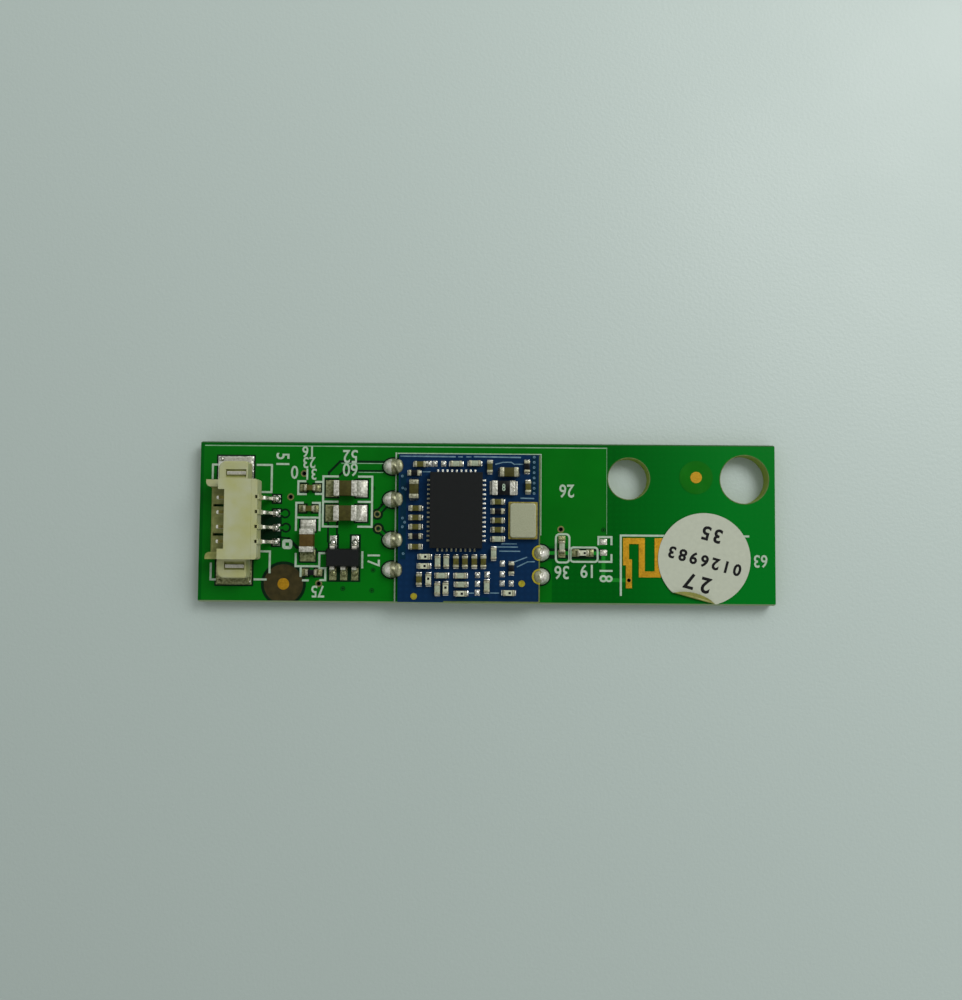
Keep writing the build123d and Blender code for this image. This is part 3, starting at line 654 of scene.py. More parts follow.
def fillet(drawn, foot, out, width, reach, height, finish):
    """Solder that climbs an end cap: a hollow curve from the land up the metal."""
    curve = [(0, 0), (reach, 0), (reach, 0.05), (0.55 * reach, 0.2 * height), (0.2 * reach, 0.52 * height), (0, height)]
    across = Vector((-out.y, out.x, 0))
    part = bmesh.new()
    start = foot - across * width / 2
    face = part.faces.new([part.verts.new(start + out * (along - 0.01) + UP * up) for along, up in curve])
    raise_faces(part, [face], across * width)
    slopes = [edge for edge in part.edges if edge.calc_face_angle(0) > 1.2 and edge.calc_length() < 0.9 * width]
    bevel(part, slopes, min(0.06, 0.12 * width), 2)
    join(drawn, part, finish)


def end_finish(out, dull):
    """The solder's finish at the end of a chip that faces a way: fluxed or bright."""
    return 4 if round(out.x + out.y) in dull else 2


def chip(drawn, box, reach, climb, cap, dull=()):
    """A ceramic chip between two end caps, soldered at both ends; dull names the fluxed ends by -1 and 1."""
    soften = bpy.context.scene.wifi_parts.chip_edge / MM
    low, high = box
    width = chip_width(box)
    height = high.z - low.z
    length = max(high.x - low.x, high.y - low.y)
    inset = Vector((0.02, 0.02, 0.02))
    block(drawn, low + inset, high - inset, 0, soften)
    for foot, out in chip_ends(box):
        cap_low, cap_high = end_box(foot, out, width, 0, length * CAP_SHARE)
        block(drawn, cap_low, cap_high + UP * height, cap, soften * 1.4, 3)
        fillet(drawn, foot, out, width * 0.96, reach, height * climb, end_finish(out, dull))


def polarity_mark(drawn, box, along, half):
    """A small dark square printed on a chip's top."""
    low, high = box
    spot = (low + high) / 2 + chip_ends(box)[1][1] * along
    corner = Vector((half, half, 0))
    block(drawn, (*(spot - corner).xy, high.z - 0.04), (*(spot + corner).xy, high.z - 0.008), 3)


# Chips on the green board: node, length of solder beyond each end, the ceramic's finish and the fluxed ends.
CARRIER_CHIPS = [
    ("supply_capacitor_1", 0.75, "pressed_umber_ceramic", (-1,)),
    ("supply_capacitor_2", 0.75, "pressed_umber_ceramic", (-1,)),
    ("output_capacitor", 0.75, "pressed_russet_ceramic", (-1,)),
    ("small_capacitor_1", 0.36, "pressed_brown_ceramic", (-1, 1)),
    ("small_capacitor_2", 0.36, "pressed_brown_ceramic", (-1, 1)),
    ("small_capacitor_3", 0.36, "black_glaze", (-1, 1)),
    ("feed_coil", 0.38, "alumina_cream_ceramic", (-1, 1)),
    ("shunt_coil", 0.38, "ferrite_grey_ceramic", (-1, 1)),
]
CARRIER_CLIMB = 0.62    # share of a chip's height that its solder climbs
MODULE_CLIMB = 0.7
CAP_SHARE = 0.24        # share of a chip's length under each end cap
LAND_SPARE = 0.06       # land beyond the solder's side
LAND_INNER = 0.2        # land under the chip
CHANNEL = 0.14          # clearance round a land
LEAD_LANDS_Y = {True: (-2.25, -1.2), False: (-5.05, -3.95)}     # of the regulator's rear and front row
REGULATOR_Y = -3
LEAD_LAND_HALF = 0.34           # half the width of a lead's land
LEAD_DOME = (0.56, 0.62)        # length and width of the solder at a lead


def chip_lands(box, reach):
    """The lands of a chip on the green board: the way each end faces, and the land's low and high corner."""
    width = chip_width(box) + 2 * LAND_SPARE
    return [(out, *end_box(foot, out, width, reach + LAND_SPARE, LAND_INNER)) for foot, out in chip_ends(box)]


def lead_land(low, high):
    """Where the land of a regulator's lead lies: in the rear row or not, its middle along x and its ends along y."""
    rear = low.y > REGULATOR_Y
    return rear, (low.x + high.x) / 2, LEAD_LANDS_Y[rear]


def carrier_lands():
    """Lands on the green board as (low, high) corners."""
    lands = [land[1:] for node, reach, *_ in CARRIER_CHIPS for land in chip_lands(cad_solids(node)[0], reach)]
    for box in cad_solids("regulator_leads"):
        _, middle, rows = lead_land(*box)
        lands.append((Vector((middle - LEAD_LAND_HALF, rows[0], TOP)), Vector((middle + LEAD_LAND_HALF, rows[1], TOP))))
    bare = [box for box in cad_solids("pad_solder") if box[0].z < MODULE_TOP - 0.1]
    return lands + cad_solids("header_solder") + bare


# ---- The green board


POUR_AREAS = [
    ((-24.72, -6.82), (-7.0, 6.6)),
    ((-7.0, 5.2), (10.38, 6.6)),
    ((4.0, -1.95), (10.38, 5.2)),
    ((4.0, -6.82), (5.64, -3.27)),
]
# Darker channels round traces and gaps in the pour: points and width.
CHANNEL_LINES = [
    ([(-8.6, 5.27), (-12.85, 5.27), (-13.8, 4.3), (-13.8, 3.9)], 0.2),
    ([(-8.6, 4.47), (-12.5, 4.47), (-12.95, 4.0)], 0.16),
    ([(-8.4, 1.75), (-8.9, 1.45), (-9.55, 0.75)], 0.6),
    ([(-8.4, -1.4), (-8.9, -1.05), (-9.45, -0.55)], 0.6),
    ([(-13.42, -0.5), (-13.42, -1.3)], 0.95),
    ([(-17.2, -1.5), (-16.5, -2.2), (-15.4, -2.62), (-13.9, -2.62)], 0.26),
    ([(-19.55, 0.08), (-18.35, 0.08)], 1.0),
    ([(-19.55, -1.18), (-18.35, -1.18)], 1.0),
    ([(-18.1, 0.68), (-17.75, 0.68)], 0.6),
    ([(-18.1, -0.55), (-17.65, -0.55)], 0.6),
    ([(-18.1, -1.35), (-17.2, -1.45)], 0.16),
    ([(4.65, -2.6), (9.6, -2.6)], 0.9),
]
TRACE_LINES = [
    ([(-8.4, 1.8), (-8.9, 1.45), (-9.4, 0.9)], 0.24),
    ([(-8.4, -1.4), (-8.9, -1.05), (-9.3, -0.7)], 0.24),
    ([(-13.42, -0.2), (-13.42, -1.5)], 0.6),
    ([(5.2, -2.55), (10.1, -2.55)], 0.3),
    ([(10.1, -2.7), (10.1, -4.86), (11.9, -4.86)], 0.34),
    ([(-18.2, 0.66), (-17.9, 0.68)], 0.24),
    ([(-18.2, -0.56), (-17.85, -0.54)], 0.24),
]
# Pale lines of painted highlight where the copper's edge lifts the mask.
EDGE_LINES = [
    ([(-24.6, 6.6), (10.36, 6.6)], 0.09),
    ([(10.38, 6.56), (10.38, -0.9)], 0.035),
    ([(-9.1, 5.12), (-12.7, 5.12)], 0.07),
    ([(-9.1, 4.34), (-11.2, 4.34)], 0.06),
]
HEADER_VIAS = [(-17.55, 0.7), (-17.47, -0.53)]
TENTED_VIAS = [(-12.45, -5.76), (-9.94, -5.91), (-9.85, -4.15), (-9.95, 2.95), (10.1, -0.52)]
VIA_PLACES = [(-15.95, 4.2), (-17.1, 2.15), (-14.55, -5.35), (-9.55, 0.7), (-9.45, -0.55), (6.4, -0.5)]
MARK_OPENINGS = [((-17.6, -5.4), 1.7, 1.95), ((18.15, 4.1), 0.0, 1.45)]     # place, bare radius, outer radius
ANTENNA_VIA = (12.3, -4.86)
VIA_R = 0.17
HOLES = [((22.35, 3.95), 2.1), ((12.3, 3.95), 1.8)]
JOINT_CLEARANCE = 0.13
JOINT_VIA_CHANNEL = 0.5     # outer radius
HEADER_VIA_R = 0.27
HEADER_VIA_CHANNEL = (0.23, 0.44)       # inner and outer radius
TENTED_VIA_R = 0.09
TENTED_VIA_RING = (0.15, 0.2)
HOLE_RIM = 0.06
JOINT_LENGTHS = {-1: 1.75, 1: 1.55}     # left and right of the radio board
EDGE_CLEARANCE = 0.16       # between the masks' layers and the board's lower edge


def joint_dome(low, high):
    """The side of the radio board that a castellation joint is on, -1 or 1, and its dome's middle."""
    side = 1 if low.x > MODULE_LOW.x else -1
    outer = high.x if side > 0 else low.x
    return side, Vector((outer - side * JOINT_LENGTHS[side] / 2, (low.y + high.y) / 2, TOP))


def oval(drawn, box, spare, low, high, finish):
    """A flat oval round a castellation joint, wider than it by a clearance on every side."""
    part = bmesh.new()
    disc(part, (0, 0), 1, low, high, finish, 48)
    side, centre = joint_dome(*box)
    half = (JOINT_LENGTHS[side] / 2 + spare, (box[1].y - box[0].y) / 2 + spare, 1, 1)
    bmesh.ops.transform(part, matrix=Matrix.Translation((*centre.xy, 0)) @ Matrix.Diagonal(half), verts=part.verts)
    join(drawn, part)


def cut_disc(drawn, centre, radius, low, high, finish, place, away):
    """A disc without what lies on the away side of a place."""
    part = bmesh.new()
    disc(part, centre, radius, low, high, finish, 48)
    bmesh.ops.bisect_plane(part, geom=everything(part), plane_co=place, plane_no=away, clear_outer=True)
    bmesh.ops.holes_fill(part, edges=part.edges, sides=0)
    bmesh.ops.recalc_face_normals(part, faces=part.faces)
    join(drawn, part)


class WIFI_OT_carrier_board(bpy.types.Operator):
    """Green board: mask, copper pour, channels, traces and alignment openings"""

    bl_idname = "wifi.carrier_board"
    bl_label = "Carrier board"

    def execute(self, context):
        film = context.scene.wifi_board.film / MM
        pour, channel, trace, pale = (TOP + film * step for step in (1, 2, 3, 4))
        dress_node("main_board", "carrier_glass_epoxy")
        drawn = bmesh.new()
        for low, high in POUR_AREAS:
            pierced_sheet(drawn, low, high, [*VIA_PLACES, ANTENNA_VIA], VIA_R, TOP - film, pour)
        for points, width in CHANNEL_LINES:
            line(drawn, points, width, TOP, channel, 1)
        spare = Vector((CHANNEL, CHANNEL, 0))
        for low, high in carrier_lands():
            if low.x < -10 or low.y < -3:       # the lands by the aerial lie in bare laminate
                block(drawn, (*(low - spare).xy, TOP), (*(high + spare).xy, channel + 0.001), 1)
        for node in nodes_named("castellation_joint"):
            oval(drawn, cad_solids(node)[0], JOINT_CLEARANCE, TOP, channel + 0.0015, 1)
        for place in VIA_PLACES[3:5]:
            ring(drawn, place, VIA_R, JOINT_VIA_CHANNEL, TOP, channel + 0.0005, 1)
        for points, width in TRACE_LINES:
            line(drawn, points, width, TOP, trace, 6 if points[0][0] > 5 else 0)
        for place in HEADER_VIAS:
            disc(drawn, place, HEADER_VIA_R, TOP, trace + 0.001)
            ring(drawn, place, *HEADER_VIA_CHANNEL, TOP, channel + 0.002, 1)
        for place in TENTED_VIAS:
            disc(drawn, place, TENTED_VIA_R, TOP, channel + 0.002, 1, 16)
            ring(drawn, place, *TENTED_VIA_RING, TOP, channel + 0.002, 1)
        for points, width in EDGE_LINES:
            line(drawn, points, width, TOP, pale, 2)
        edge = (0, BOARD_LOW.y + EDGE_CLEARANCE, 0)
        for place, bare, outer in MARK_OPENINGS:
            cut_disc(drawn, place, outer, TOP, trace + 0.004, 1 if bare else 4, edge, (0, -1, 0))
            if bare:
                cut_disc(drawn, place, bare, TOP, trace + 0.006, 3, edge, (0, -1, 0))
        for place, radius in HOLES:
            ring(drawn, place, radius, radius + HOLE_RIM, TOP, channel, 5, 96)
        add_piece(
            "carrier_mask_layers", drawn, [
                "mask_over_copper", "mask_in_channels", "mask_edge_line", "bare_glass_epoxy", "mask_over_opening",
                "routed_rim", "mask_over_trace"])
        return {"FINISHED"}


class WIFI_OT_plated_holes(bpy.types.Operator):
    """Plated barrels and rings of the small holes through the green board"""

    bl_idname = "wifi.plated_holes"
    bl_label = "Plated holes"

    def execute(self, context):
        drawn = bmesh.new()
        inside, dark, pad = 0.15, 0.2, 0.3
        rim, foil = TOP + 0.02, TOP + 0.05
        section = [(VIA_R, 0), (VIA_R, TOP), (pad, TOP), (pad, rim), (dark, rim), (inside, rim), (inside, 0)]
        in_foil = [(VIA_R, 0), (VIA_R, TOP), (VIA_R, foil), (inside, foil), (inside, 0)]
        for place in [*VIA_PLACES, ANTENNA_VIA]:
            part = bmesh.new()
            spun(part, place, in_foil if place == ANTENNA_VIA else section, 0, 24)
            for face in part.faces:
                # The bore's walls and the ring round its mouth get painted shade; the rest is the gold ring.
                from_axis = (face.calc_center_median().xy - Vector(place)).length
                face.material_index = int(abs(face.normal.z) < 0.5 or from_axis < dark)
            join(drawn, part)
        add_piece("plated_holes", drawn, ["flux_dulled_gold", "tarnished_barrel"])
        return {"FINISHED"}


# Printed lines as points; those of a box are drawn from gap to gap.
PRINTED_LINES = [
    [(-23.45, 4.92), (-23.92, 4.92), (-23.92, 3.75)],
    [(-23.92, -3.7), (-23.92, -5.06), (-23.5, -5.06)],
    [(-20.02, 4.92), (-18.78, 4.92), (-18.78, 2.55), (-19.55, 2.55)],
    [(-19.6, -2.6), (-18.82, -2.6), (-18.82, -4.4)],
    [(-20.1, -5.03), (-19.15, -5.03)],
    [(-15.85, 3.52), (-16.45, 3.52), (-16.45, 2.4), (-15.8, 2.4)],
    [(-14.9, 3.47), (-14.35, 3.47)],
    [(-14.9, 2.42), (-14.35, 2.42)],
    [(-16.05, 1.64), (-16.6, 1.64), (-16.6, -0.72)],
    [(-15.15, 1.64), (-14.55, 1.64), (-14.55, -0.72)],
    [(-16.6, 0.36), (-14.55, 0.36)],
    [(-16.57, -2.8), (-16.57, -3.86), (-14.52, -3.86), (-14.52, -2.72), (-14.1, -2.72)],
    [(-16.12, -4.05), (-16.12, -4.7)],
    [(-15.9, -5.08), (-15.5, -5.08)],
    [(-14.5, -4.02), (-13.98, -4.02), (-13.98, -5.05), (-14.4, -5.05)],
    [(-13.02, 3.96), (-14.28, 3.96), (-14.28, -0.4), (-13.02, -0.4)],
    [(-11.18, 3.96), (-10.02, 3.96), (-10.02, -0.4), (-11.18, -0.4)],
    [(-14.28, 1.76), (-13.02, 1.76)],
    [(-11.18, 1.76), (-10.02, 1.76)],
    [(-10.8, -2.61), (-10.8, -3.92)],
    [(9.66, -1.75), (9.66, -1.14), (10.79, -1.14), (10.79, -1.75)],
    [(10.79, -2.7), (10.79, -3.28), (9.74, -3.28)],
    [(11.6, -6.12), (11.6, -0.99), (22.65, -0.99)],
]
PRINT_HEIGHT = 0.045
# Thinner lines: points and width.
MODULE_OUTLINE = [
    ([(-7.96, 6.04), (-7.96, -6.8)], 0.12),
    ([(-7.8, 6.02), (4.66, 6.0)], 0.1),
    ([(4.66, 5.94), (4.66, -1.0)], 0.075),
]
# Low and high corner, corner radius and line width.
PRINTED_ROUNDS = [
    ((5.89, -3.45), (7.23, -0.83), 0.4, 0.17),
    ((7.15, -3.38), (9.68, -1.97), 0.35, 0.17),
    ((-17.76, -2.39), (-16.89, -1.54), 0.24, 0.27),
]
# Plain numbers: text, place, turn in degrees, share of the usual height.
PRINTED_NUMBERS = [
    ("51", (-17.9, 5.35), -90, 1.0),
    ("0", (-16.8, 4.36), 180, 1.0),
    ("16", (-15.6, 6.15), 180, 0.85),
    ("23", (-15.55, 5.2), 180, 0.85),
    ("31", (-15.4, 4.2), 180, 0.85),
    ("52", (-11.95, 5.78), 180, 1.0),
    ("60", (-11.95, 4.62), 180, 1.0),
    ("17", (-9.87, -3.2), -90, 0.95),
    ("26", (6.9, 2.9), 180, 1.0),
    ("36", (6.5, -4.17), 180, 1.0),
    ("19", (8.75, -4.05), 180, 1.0),
    ("18", (10.26, -4.4), -90, 1.0),
    ("63", (23.69, -3.08), 180, 0.95),
    ("75", (-14.62, -5.98), 180, 0.9),
]


class WIFI_OT_printed_lines(bpy.types.Operator):
    """Off-white lines and plain numbers printed on the green board"""

    bl_idname = "wifi.printed_lines"
    bl_label = "Printed lines"

    def execute(self, context):
        look = context.scene.wifi_print
        width = look.line_width / MM
        low, high = TOP, TOP + PRINT_HEIGHT
        drawn = bmesh.new()
        for points in PRINTED_LINES:
            line(drawn, points, width, low, high)
        for points, stroke in MODULE_OUTLINE:
            line(drawn, points, stroke, low, high)
        for start, end, corner, stroke in PRINTED_ROUNDS:
            rounded_line(drawn, start, end, corner, stroke, low, high)
        for text, place, turn, share in PRINTED_NUMBERS:
            numbers(drawn, text, share * look.number_height / MM, place, turn, low, high - low)
        add_piece("printed_lines", drawn, ["printed_ink"])
        return {"FINISHED"}


class WIFI_OT_antenna_and_marks(bpy.types.Operator):
    """Gold-plated antenna and round alignment marks, on their own foil"""

    bl_idname = "wifi.antenna_and_marks"
    bl_label = "Antenna and marks"

    def execute(self, context):
        dress_node("antenna_trace", "immersion_gold")
        marks = merged_copy("alignment_marks")
        for face in marks.faces:
            middle = face.calc_center_median()
            # The right-hand mark gets the painted-shade gold.
            face.material_index = 2 if middle.x > 15 else int(middle.z > MODULE_TOP - 0.05)
        finishes = ["immersion_gold", "pale_immersion_gold", "worn_immersion_gold"]
        add_piece("alignment_marks_plated", marks, finishes, ["alignment_marks"])
        return {"FINISHED"}


# ---- Header


NAIL_SLOT_SHADE = (0.14, 0.74)      # middle outwards from the nail's inner side, and width, of a painted-shade block in each nail slot
MOUTH_HALF = 2.9        # the mouth's half width
MOUTH_END_X = -20
PIN_TIP_X = -22.93      # behind this the pins lie in the housing's shade


class WIFI_OT_wire_header(bpy.types.Operator):
    """Wire header: nylon housing, tinned pins and solder nails"""

    bl_idname = "wifi.wire_header"
    bl_label = "Wire header"

    def execute(self, context):
        edge = context.scene.wifi_parts.moulded_edge
        housing = merged_copy("header_housing")
        for face in housing.faces:
            middle = face.calc_center_median()
            # Faces deep in the mouth get the painted-shade nylon.
            face.material_index = int(
                abs(middle.y) < MOUTH_HALF and TOP + 0.1 < middle.z < TOP + 2.4 and middle.x < MOUTH_END_X)
        # A block of painted-shade nylon fills each nail slot under its nail.
        for low, high in (cad_solids(node)[0] for node in nodes_named("header_nail")):
            inner = low.y if low.y > 0 else high.y
            spot = inner + math.copysign(NAIL_SLOT_SHADE[0], inner)
            half = NAIL_SLOT_SHADE[1] / 2
            block(housing, (low.x + 0.3, spot - half, TOP + 0.5), (high.x, spot + half, high.z - 0.16), 1)
        finishes = ["moulded_nylon", "yellowed_nylon"]
        # The bevel is clamped at the mesh's shortest edges, to about 0.001 mm: the housing's edges read as sharp.
        add_piece("header_housing_moulded", housing, finishes, ["header_housing"], soften=edge)
        for start, dull, edge in (
            ("header_pin", "shaded_tinned_brass", 0.05), ("header_nail", "fluxed_solder", 0.11),
        ):
            nodes = nodes_named(start)
            drawn = bmesh.new()
            for node in nodes:
                join(drawn, merged_copy(node))
            bmesh.ops.bisect_plane(drawn, geom=everything(drawn), plane_co=(PIN_TIP_X, 0, 0), plane_no=(1, 0, 0))
            for face in drawn.faces:
                middle = face.calc_center_median()
                lower_foot = start == "header_nail" and middle.y < 0 and middle.z < TOP + 1
                # Tips ahead of PIN_TIP_X get the painted-highlight tin.
                if middle.x < PIN_TIP_X:
                    face.material_index = 2
                # Pins inside the housing get the painted-shade brass; the lower nail's foot gets the fluxed solder.
                elif lower_foot or start == "header_pin" and middle.x < PIN_TIP_X + 3:
                    face.material_index = 1
            finishes = ["matt_tin_plating", dull, "rubbed_tin_plating"]
            add_piece(start + "s_tinned", drawn, finishes, nodes, soften=edge * MM)
        return {"FINISHED"}


class WIFI_OT_header_solder(bpy.types.Operator):
    """Solder round the header's tails and on its two nail lands"""

    bl_idname = "wifi.header_solder"
    bl_label = "Header solder"

    def execute(self, context):
        drawn = bmesh.new()
        for low, high in cad_solids("header_solder"):
            if high.x - low.x > 2:      # a nail's land
                dull = int(high.y < 0)
                block(drawn, low, high, dull, 0.03)
                y = low.y + 0.26 if dull else high.y - 0.26
                for x, finish in ((low.x + 0.28, dull), (high.x - 0.28, 0)):
                    dome(drawn, (x, y, high.z - 0.01), 0.5, 0.44, 0.14, finish)
                continue
            middle = (low + high) / 2
            block(drawn, low, (high.x, high.y, low.z + 0.05), 0, 0.02)
            dome(drawn, (middle.x, middle.y, low.z + 0.03), high.x - low.x, high.y - low.y, 0.42, 0, 20)
        finishes = ["reflowed_solder", "fluxed_solder"]
        add_piece("header_solder_joints", drawn, finishes, ["header_solder"])
        return {"FINISHED"}


# ---- Chips on the green board


class WIFI_OT_carrier_chips(bpy.types.Operator):
    """Capacitors and coils of the green board, with their lands and solder"""

    bl_idname = "wifi.carrier_chips"
    bl_label = "Carrier chips"

    def execute(self, context):
        for node, reach, ceramic, dull in CARRIER_CHIPS:
            box = cad_solids(node)[0]
            drawn = bmesh.new()
            chip(drawn, box, reach, CARRIER_CLIMB, 2 if reach > 0.5 else 1, dull)
            for out, low, high in chip_lands(box, reach):
                block(drawn, low, high + UP * 0.035, end_finish(out, dull), 0.012)
            if node == "feed_coil":
                polarity_mark(drawn, box, 0.13, 0.09)
            finishes = [ceramic, "fired_end_cap", "frosted_solder", "black_glaze", "fluxed_solder"]
            add_piece(node + "_soldered", drawn, finishes, [node])
        return {"FINISHED"}


class WIFI_OT_regulator(bpy.types.Operator):
    """Five-lead regulator: moulded body, tinned leads and their solder"""

    bl_idname = "wifi.regulator"
    bl_label = "Regulator"

    def execute(self, context):
        add_piece(
            "regulator_moulded", merged_copy("regulator_body"), ["moulded_epoxy"],
            ["regulator_body"], soften=0.04 * MM)
        dress_node("regulator_leads", "matt_tin_plating")
        drawn = bmesh.new()
        for low, high in cad_solids("regulator_leads"):
            rear, middle, rows = lead_land(low, high)
            finish = int(not rear)
            block(drawn, (middle - 0.3, rows[0], TOP), (middle + 0.3, rows[1], TOP + 0.05), finish, 0.015)
            foot = high.y - 0.1 if rear else low.y + 0.1
            dome(drawn, (middle, foot, TOP + 0.02), *LEAD_DOME, 0.3 if rear else 0.2, finish, 20)
        add_piece("regulator_solder", drawn, ["reflowed_solder", "fluxed_solder"])
        return {"FINISHED"}


# ---- Radio board


MODULE_LINES = [
    ([(-7.49, 5.7), (-6.1, 5.7)], 0.1), ([(-5.98, 5.7), (-2.82, 5.68)], 0.12), ([(-2.5, 5.68), (-2.2, 5.68)], 0.1),
    ([(-1.8, 5.68), (-1.45, 5.68)], 0.1), ([(-1.14, 5.7), (2.82, 5.66)], 0.12),
    ([(0.71, 5.06), (1.33, 5.23), (2.03, 5.24), (2.3, 5.07), (3.05, 5.07)], 0.09),
    ([(-5.56, 4.36), (-4.95, 4.36)], 0.08), ([(2.9, 2.14), (3.98, 2.12)], 0.1), ([(1.26, -1.8), (2.53, -1.8)], 0.08),
    ([(0.78, -2.07), (2.62, -2.07)], 0.09), ([(1.09, -2.43), (2.81, -2.43)], 0.09),
    ([(-1.68, -6.04), (-1.12, -6.04)], 0.09), ([(0.34, -6.02), (1.02, -6.02)], 0.09),
    ([(2.36, -3.34), (3.41, -2.94)], 0.09), ([(2.62, -3.76), (3.5, -3.33), (4.07, -3.31)], 0.09),
]
MODULE_DOTS = [(4.02, 5.7 - 0.45 * n) for n in range(8)]
MODULE_DOTS += [(-7.35, 3.98), (-7.3, 2.95), (-7.05, 2.85), (-7.3, 0.35), (-7.1, 0.0), (-7.3, -0.4), (-7.2, -2.7)]
MODULE_PATCHES = [
    ((-7.5, -3.2), (-7.0, 4.2)), ((3.75, 2.5), (4.3, 5.9)), ((-2.6, -6.7), (0.2, -6.4)),
]
RIM = 0.11


class WIFI_OT_radio_board(bpy.types.Operator):
    """Blue board: mask, fine traces, small holes and its routed rim"""

    bl_idname = "wifi.radio_board"
    bl_label = "Radio board"

    def execute(self, context):
        dress_node("module_board", "module_glass_epoxy")
        drawn = bmesh.new()
        low, high = MODULE_LOW, MODULE_HIGH
        film = 0.006
        for start, end in MODULE_PATCHES:
            block(drawn, (*start, MODULE_TOP - film), (*end, MODULE_TOP + film), 0)
        # Pale lines along the traces and pale rings round the vias: painted highlight.
        for points, width in MODULE_LINES:
            line(drawn, points, width, MODULE_TOP, MODULE_TOP + 3 * film, 1)
        for place in MODULE_DOTS:
            ring(drawn, place, 0.05, 0.11, MODULE_TOP, MODULE_TOP + 2 * film, 1, 12)
        inner = Vector((high.x - RIM / 2, low.y + RIM / 2))
        bar(drawn, (inner.x, low.y + RIM), (inner.x, high.y - RIM), RIM, MODULE_TOP, MODULE_TOP + film, 2)
        bar(drawn, (low.x + 4, inner.y), (high.x - RIM, inner.y), RIM, MODULE_TOP, MODULE_TOP + 1.5 * film, 2)
        add_piece("radio_board_layers", drawn, ["blue_mask_over_copper", "blue_edge_line", "routed_rim"])
        return {"FINISHED"}


CREASE_DEPTH = 0.16
CREASE_WIDTH = 0.08
HALF_LAND_R = 0.68
TOES = {-1: (0.74, 1.16, 0.22), 1: (0.86, 1.08, 0.22)}      # on the radio board: length, width and height, by side
CREASE_WAYS = {-1: Vector((0.6, -0.8, 0)), 1: Vector((0.25, 0.97, 0))}      # by the joint's side


class WIFI_OT_castellation_joints(bpy.types.Operator):
    """Six solder domes that join the radio board's half holes to the green board"""

    bl_idname = "wifi.castellation_joints"
    bl_label = "Castellation joints"

    def execute(self, context):
        drawn = bmesh.new()
        nodes = nodes_named("castellation_joint")
        for low, high in (cad_solids(node)[0] for node in nodes):
            side, centre = joint_dome(low, high)
            edge = MODULE_HIGH.x if side > 0 else MODULE_LOW.x
            part = bmesh.new()
            dome(part, centre, JOINT_LENGTHS[side], high.y - low.y, high.z - low.z - 0.06, 0, 48)
            if side > 0:
                spot = (edge, centre.y)
                cut_disc(part, spot, HALF_LAND_R, MODULE_TOP, MODULE_TOP + 0.05, 2, (*spot, 0), (1, 0, 0))
            dome(part, (edge - max(0, side) * 0.1, centre.y, MODULE_TOP), *TOES[side], 1, 40)
            along = CREASE_WAYS[side]
            across = Vector((-along.y, along.x, 0))
            middle = Vector((edge + 0.1, centre.y, 0)) if side > 0 else centre
            for vert in part.verts:
                away = vert.co - middle
                reach = away.dot(along)
                if reach > -0.1:
                    dip = CREASE_DEPTH * math.exp(-(away.dot(across) / CREASE_WIDTH) ** 2)
                    vert.co.z = max(TOP, vert.co.z - dip * min(1.0, (reach + 0.1) * 3))
            bmesh.ops.dissolve_degenerate(part, dist=0.0005, edges=part.edges)
            split = edge if side > 0 else centre.x - 0.1
            for face in part.faces:
                if not face.material_index and (face.calc_center_median().x - split) * side < 0:
                    face.material_index = 1
            join(drawn, part)
        finishes = ["heaped_solder", "thinly_soldered_gold", "pale_immersion_gold"]
        add_piece("castellation_solder", drawn, finishes, nodes, smooth=60)
        return {"FINISHED"}


PAD_SLIM = 0.03         # taken off both sides of a pad
PAD_TOE = 0.07          # how far outwards its solder's dome sits
PAD_DOME = (0.36, 0.16)


class WIFI_OT_radio_chip(bpy.types.Operator):
    """Radio chip: matt moulded body and soldered pads on four sides"""

    bl_idname = "wifi.radio_chip"
    bl_label = "Radio chip"

    def execute(self, context):
        add_piece(
            "radio_chip_moulded", merged_copy("radio_chip"), ["moulded_epoxy"], ["radio_chip"],
            soften=0.03 * MM)
        body_low, body_high = cad_solids("radio_chip")[0]
        drawn = bmesh.new()
        for low, high in cad_solids("radio_chip_pads"):
            if high.x - low.x > 1:
                block(drawn, low, high, 0)
                continue
            middle = (low + high) / 2
            away = middle - (body_low + body_high) / 2
            along_x = high.x - low.x > high.y - low.y
            finish = int((away.x if along_x else away.y) < 0)       # the rear and right rows, facing the light, get a painted highlight; the others get the dull end-cap tone as painted shade
            way = Vector((math.copysign(1, away.x), 0, 0)) if along_x else Vector((0, math.copysign(1, away.y), 0))
            slim = Vector((abs(way.y), abs(way.x), 0)) * PAD_SLIM
            block(drawn, low + slim, high - slim, finish, 0.015)
            spot = middle + way * PAD_TOE
            size = PAD_DOME if along_x else PAD_DOME[::-1]
            dome(drawn, (spot.x, spot.y, low.z + 0.03), *size, 0.14, finish, 10)
        finishes = ["bright_toe_solder", "fired_end_cap"]
        add_piece("radio_chip_solder", drawn, finishes, ["radio_chip_pads"])
        return {"FINISHED"}


LID_SPREAD = 1.05       # the lid's foot runs out onto the seal ring


class WIFI_OT_crystal(bpy.types.Operator):
    """Crystal: ceramic base with a gold seal ring and a welded nickel lid"""

    bl_idname = "wifi.crystal"
    bl_label = "Crystal"

    def execute(self, context):
        add_piece(
            "crystal_base_plated", merged_copy("crystal_base"), ["gold_seal_ring"], ["crystal_base"],
            soften=0.06 * MM)
        lid = merged_copy("crystal_lid")
        middle = sum(cad_solids("crystal_lid")[0], Vector()) / 2
        spread = Matrix.Diagonal((LID_SPREAD, LID_SPREAD, 1, 1))
        bmesh.ops.transform(lid, matrix=spread, space=Matrix.Translation(-middle), verts=lid.verts)
        add_piece("crystal_lid_welded", lid, ["stamped_nickel"], ["crystal_lid"], soften=0.09 * MM)
        return {"FINISHED"}


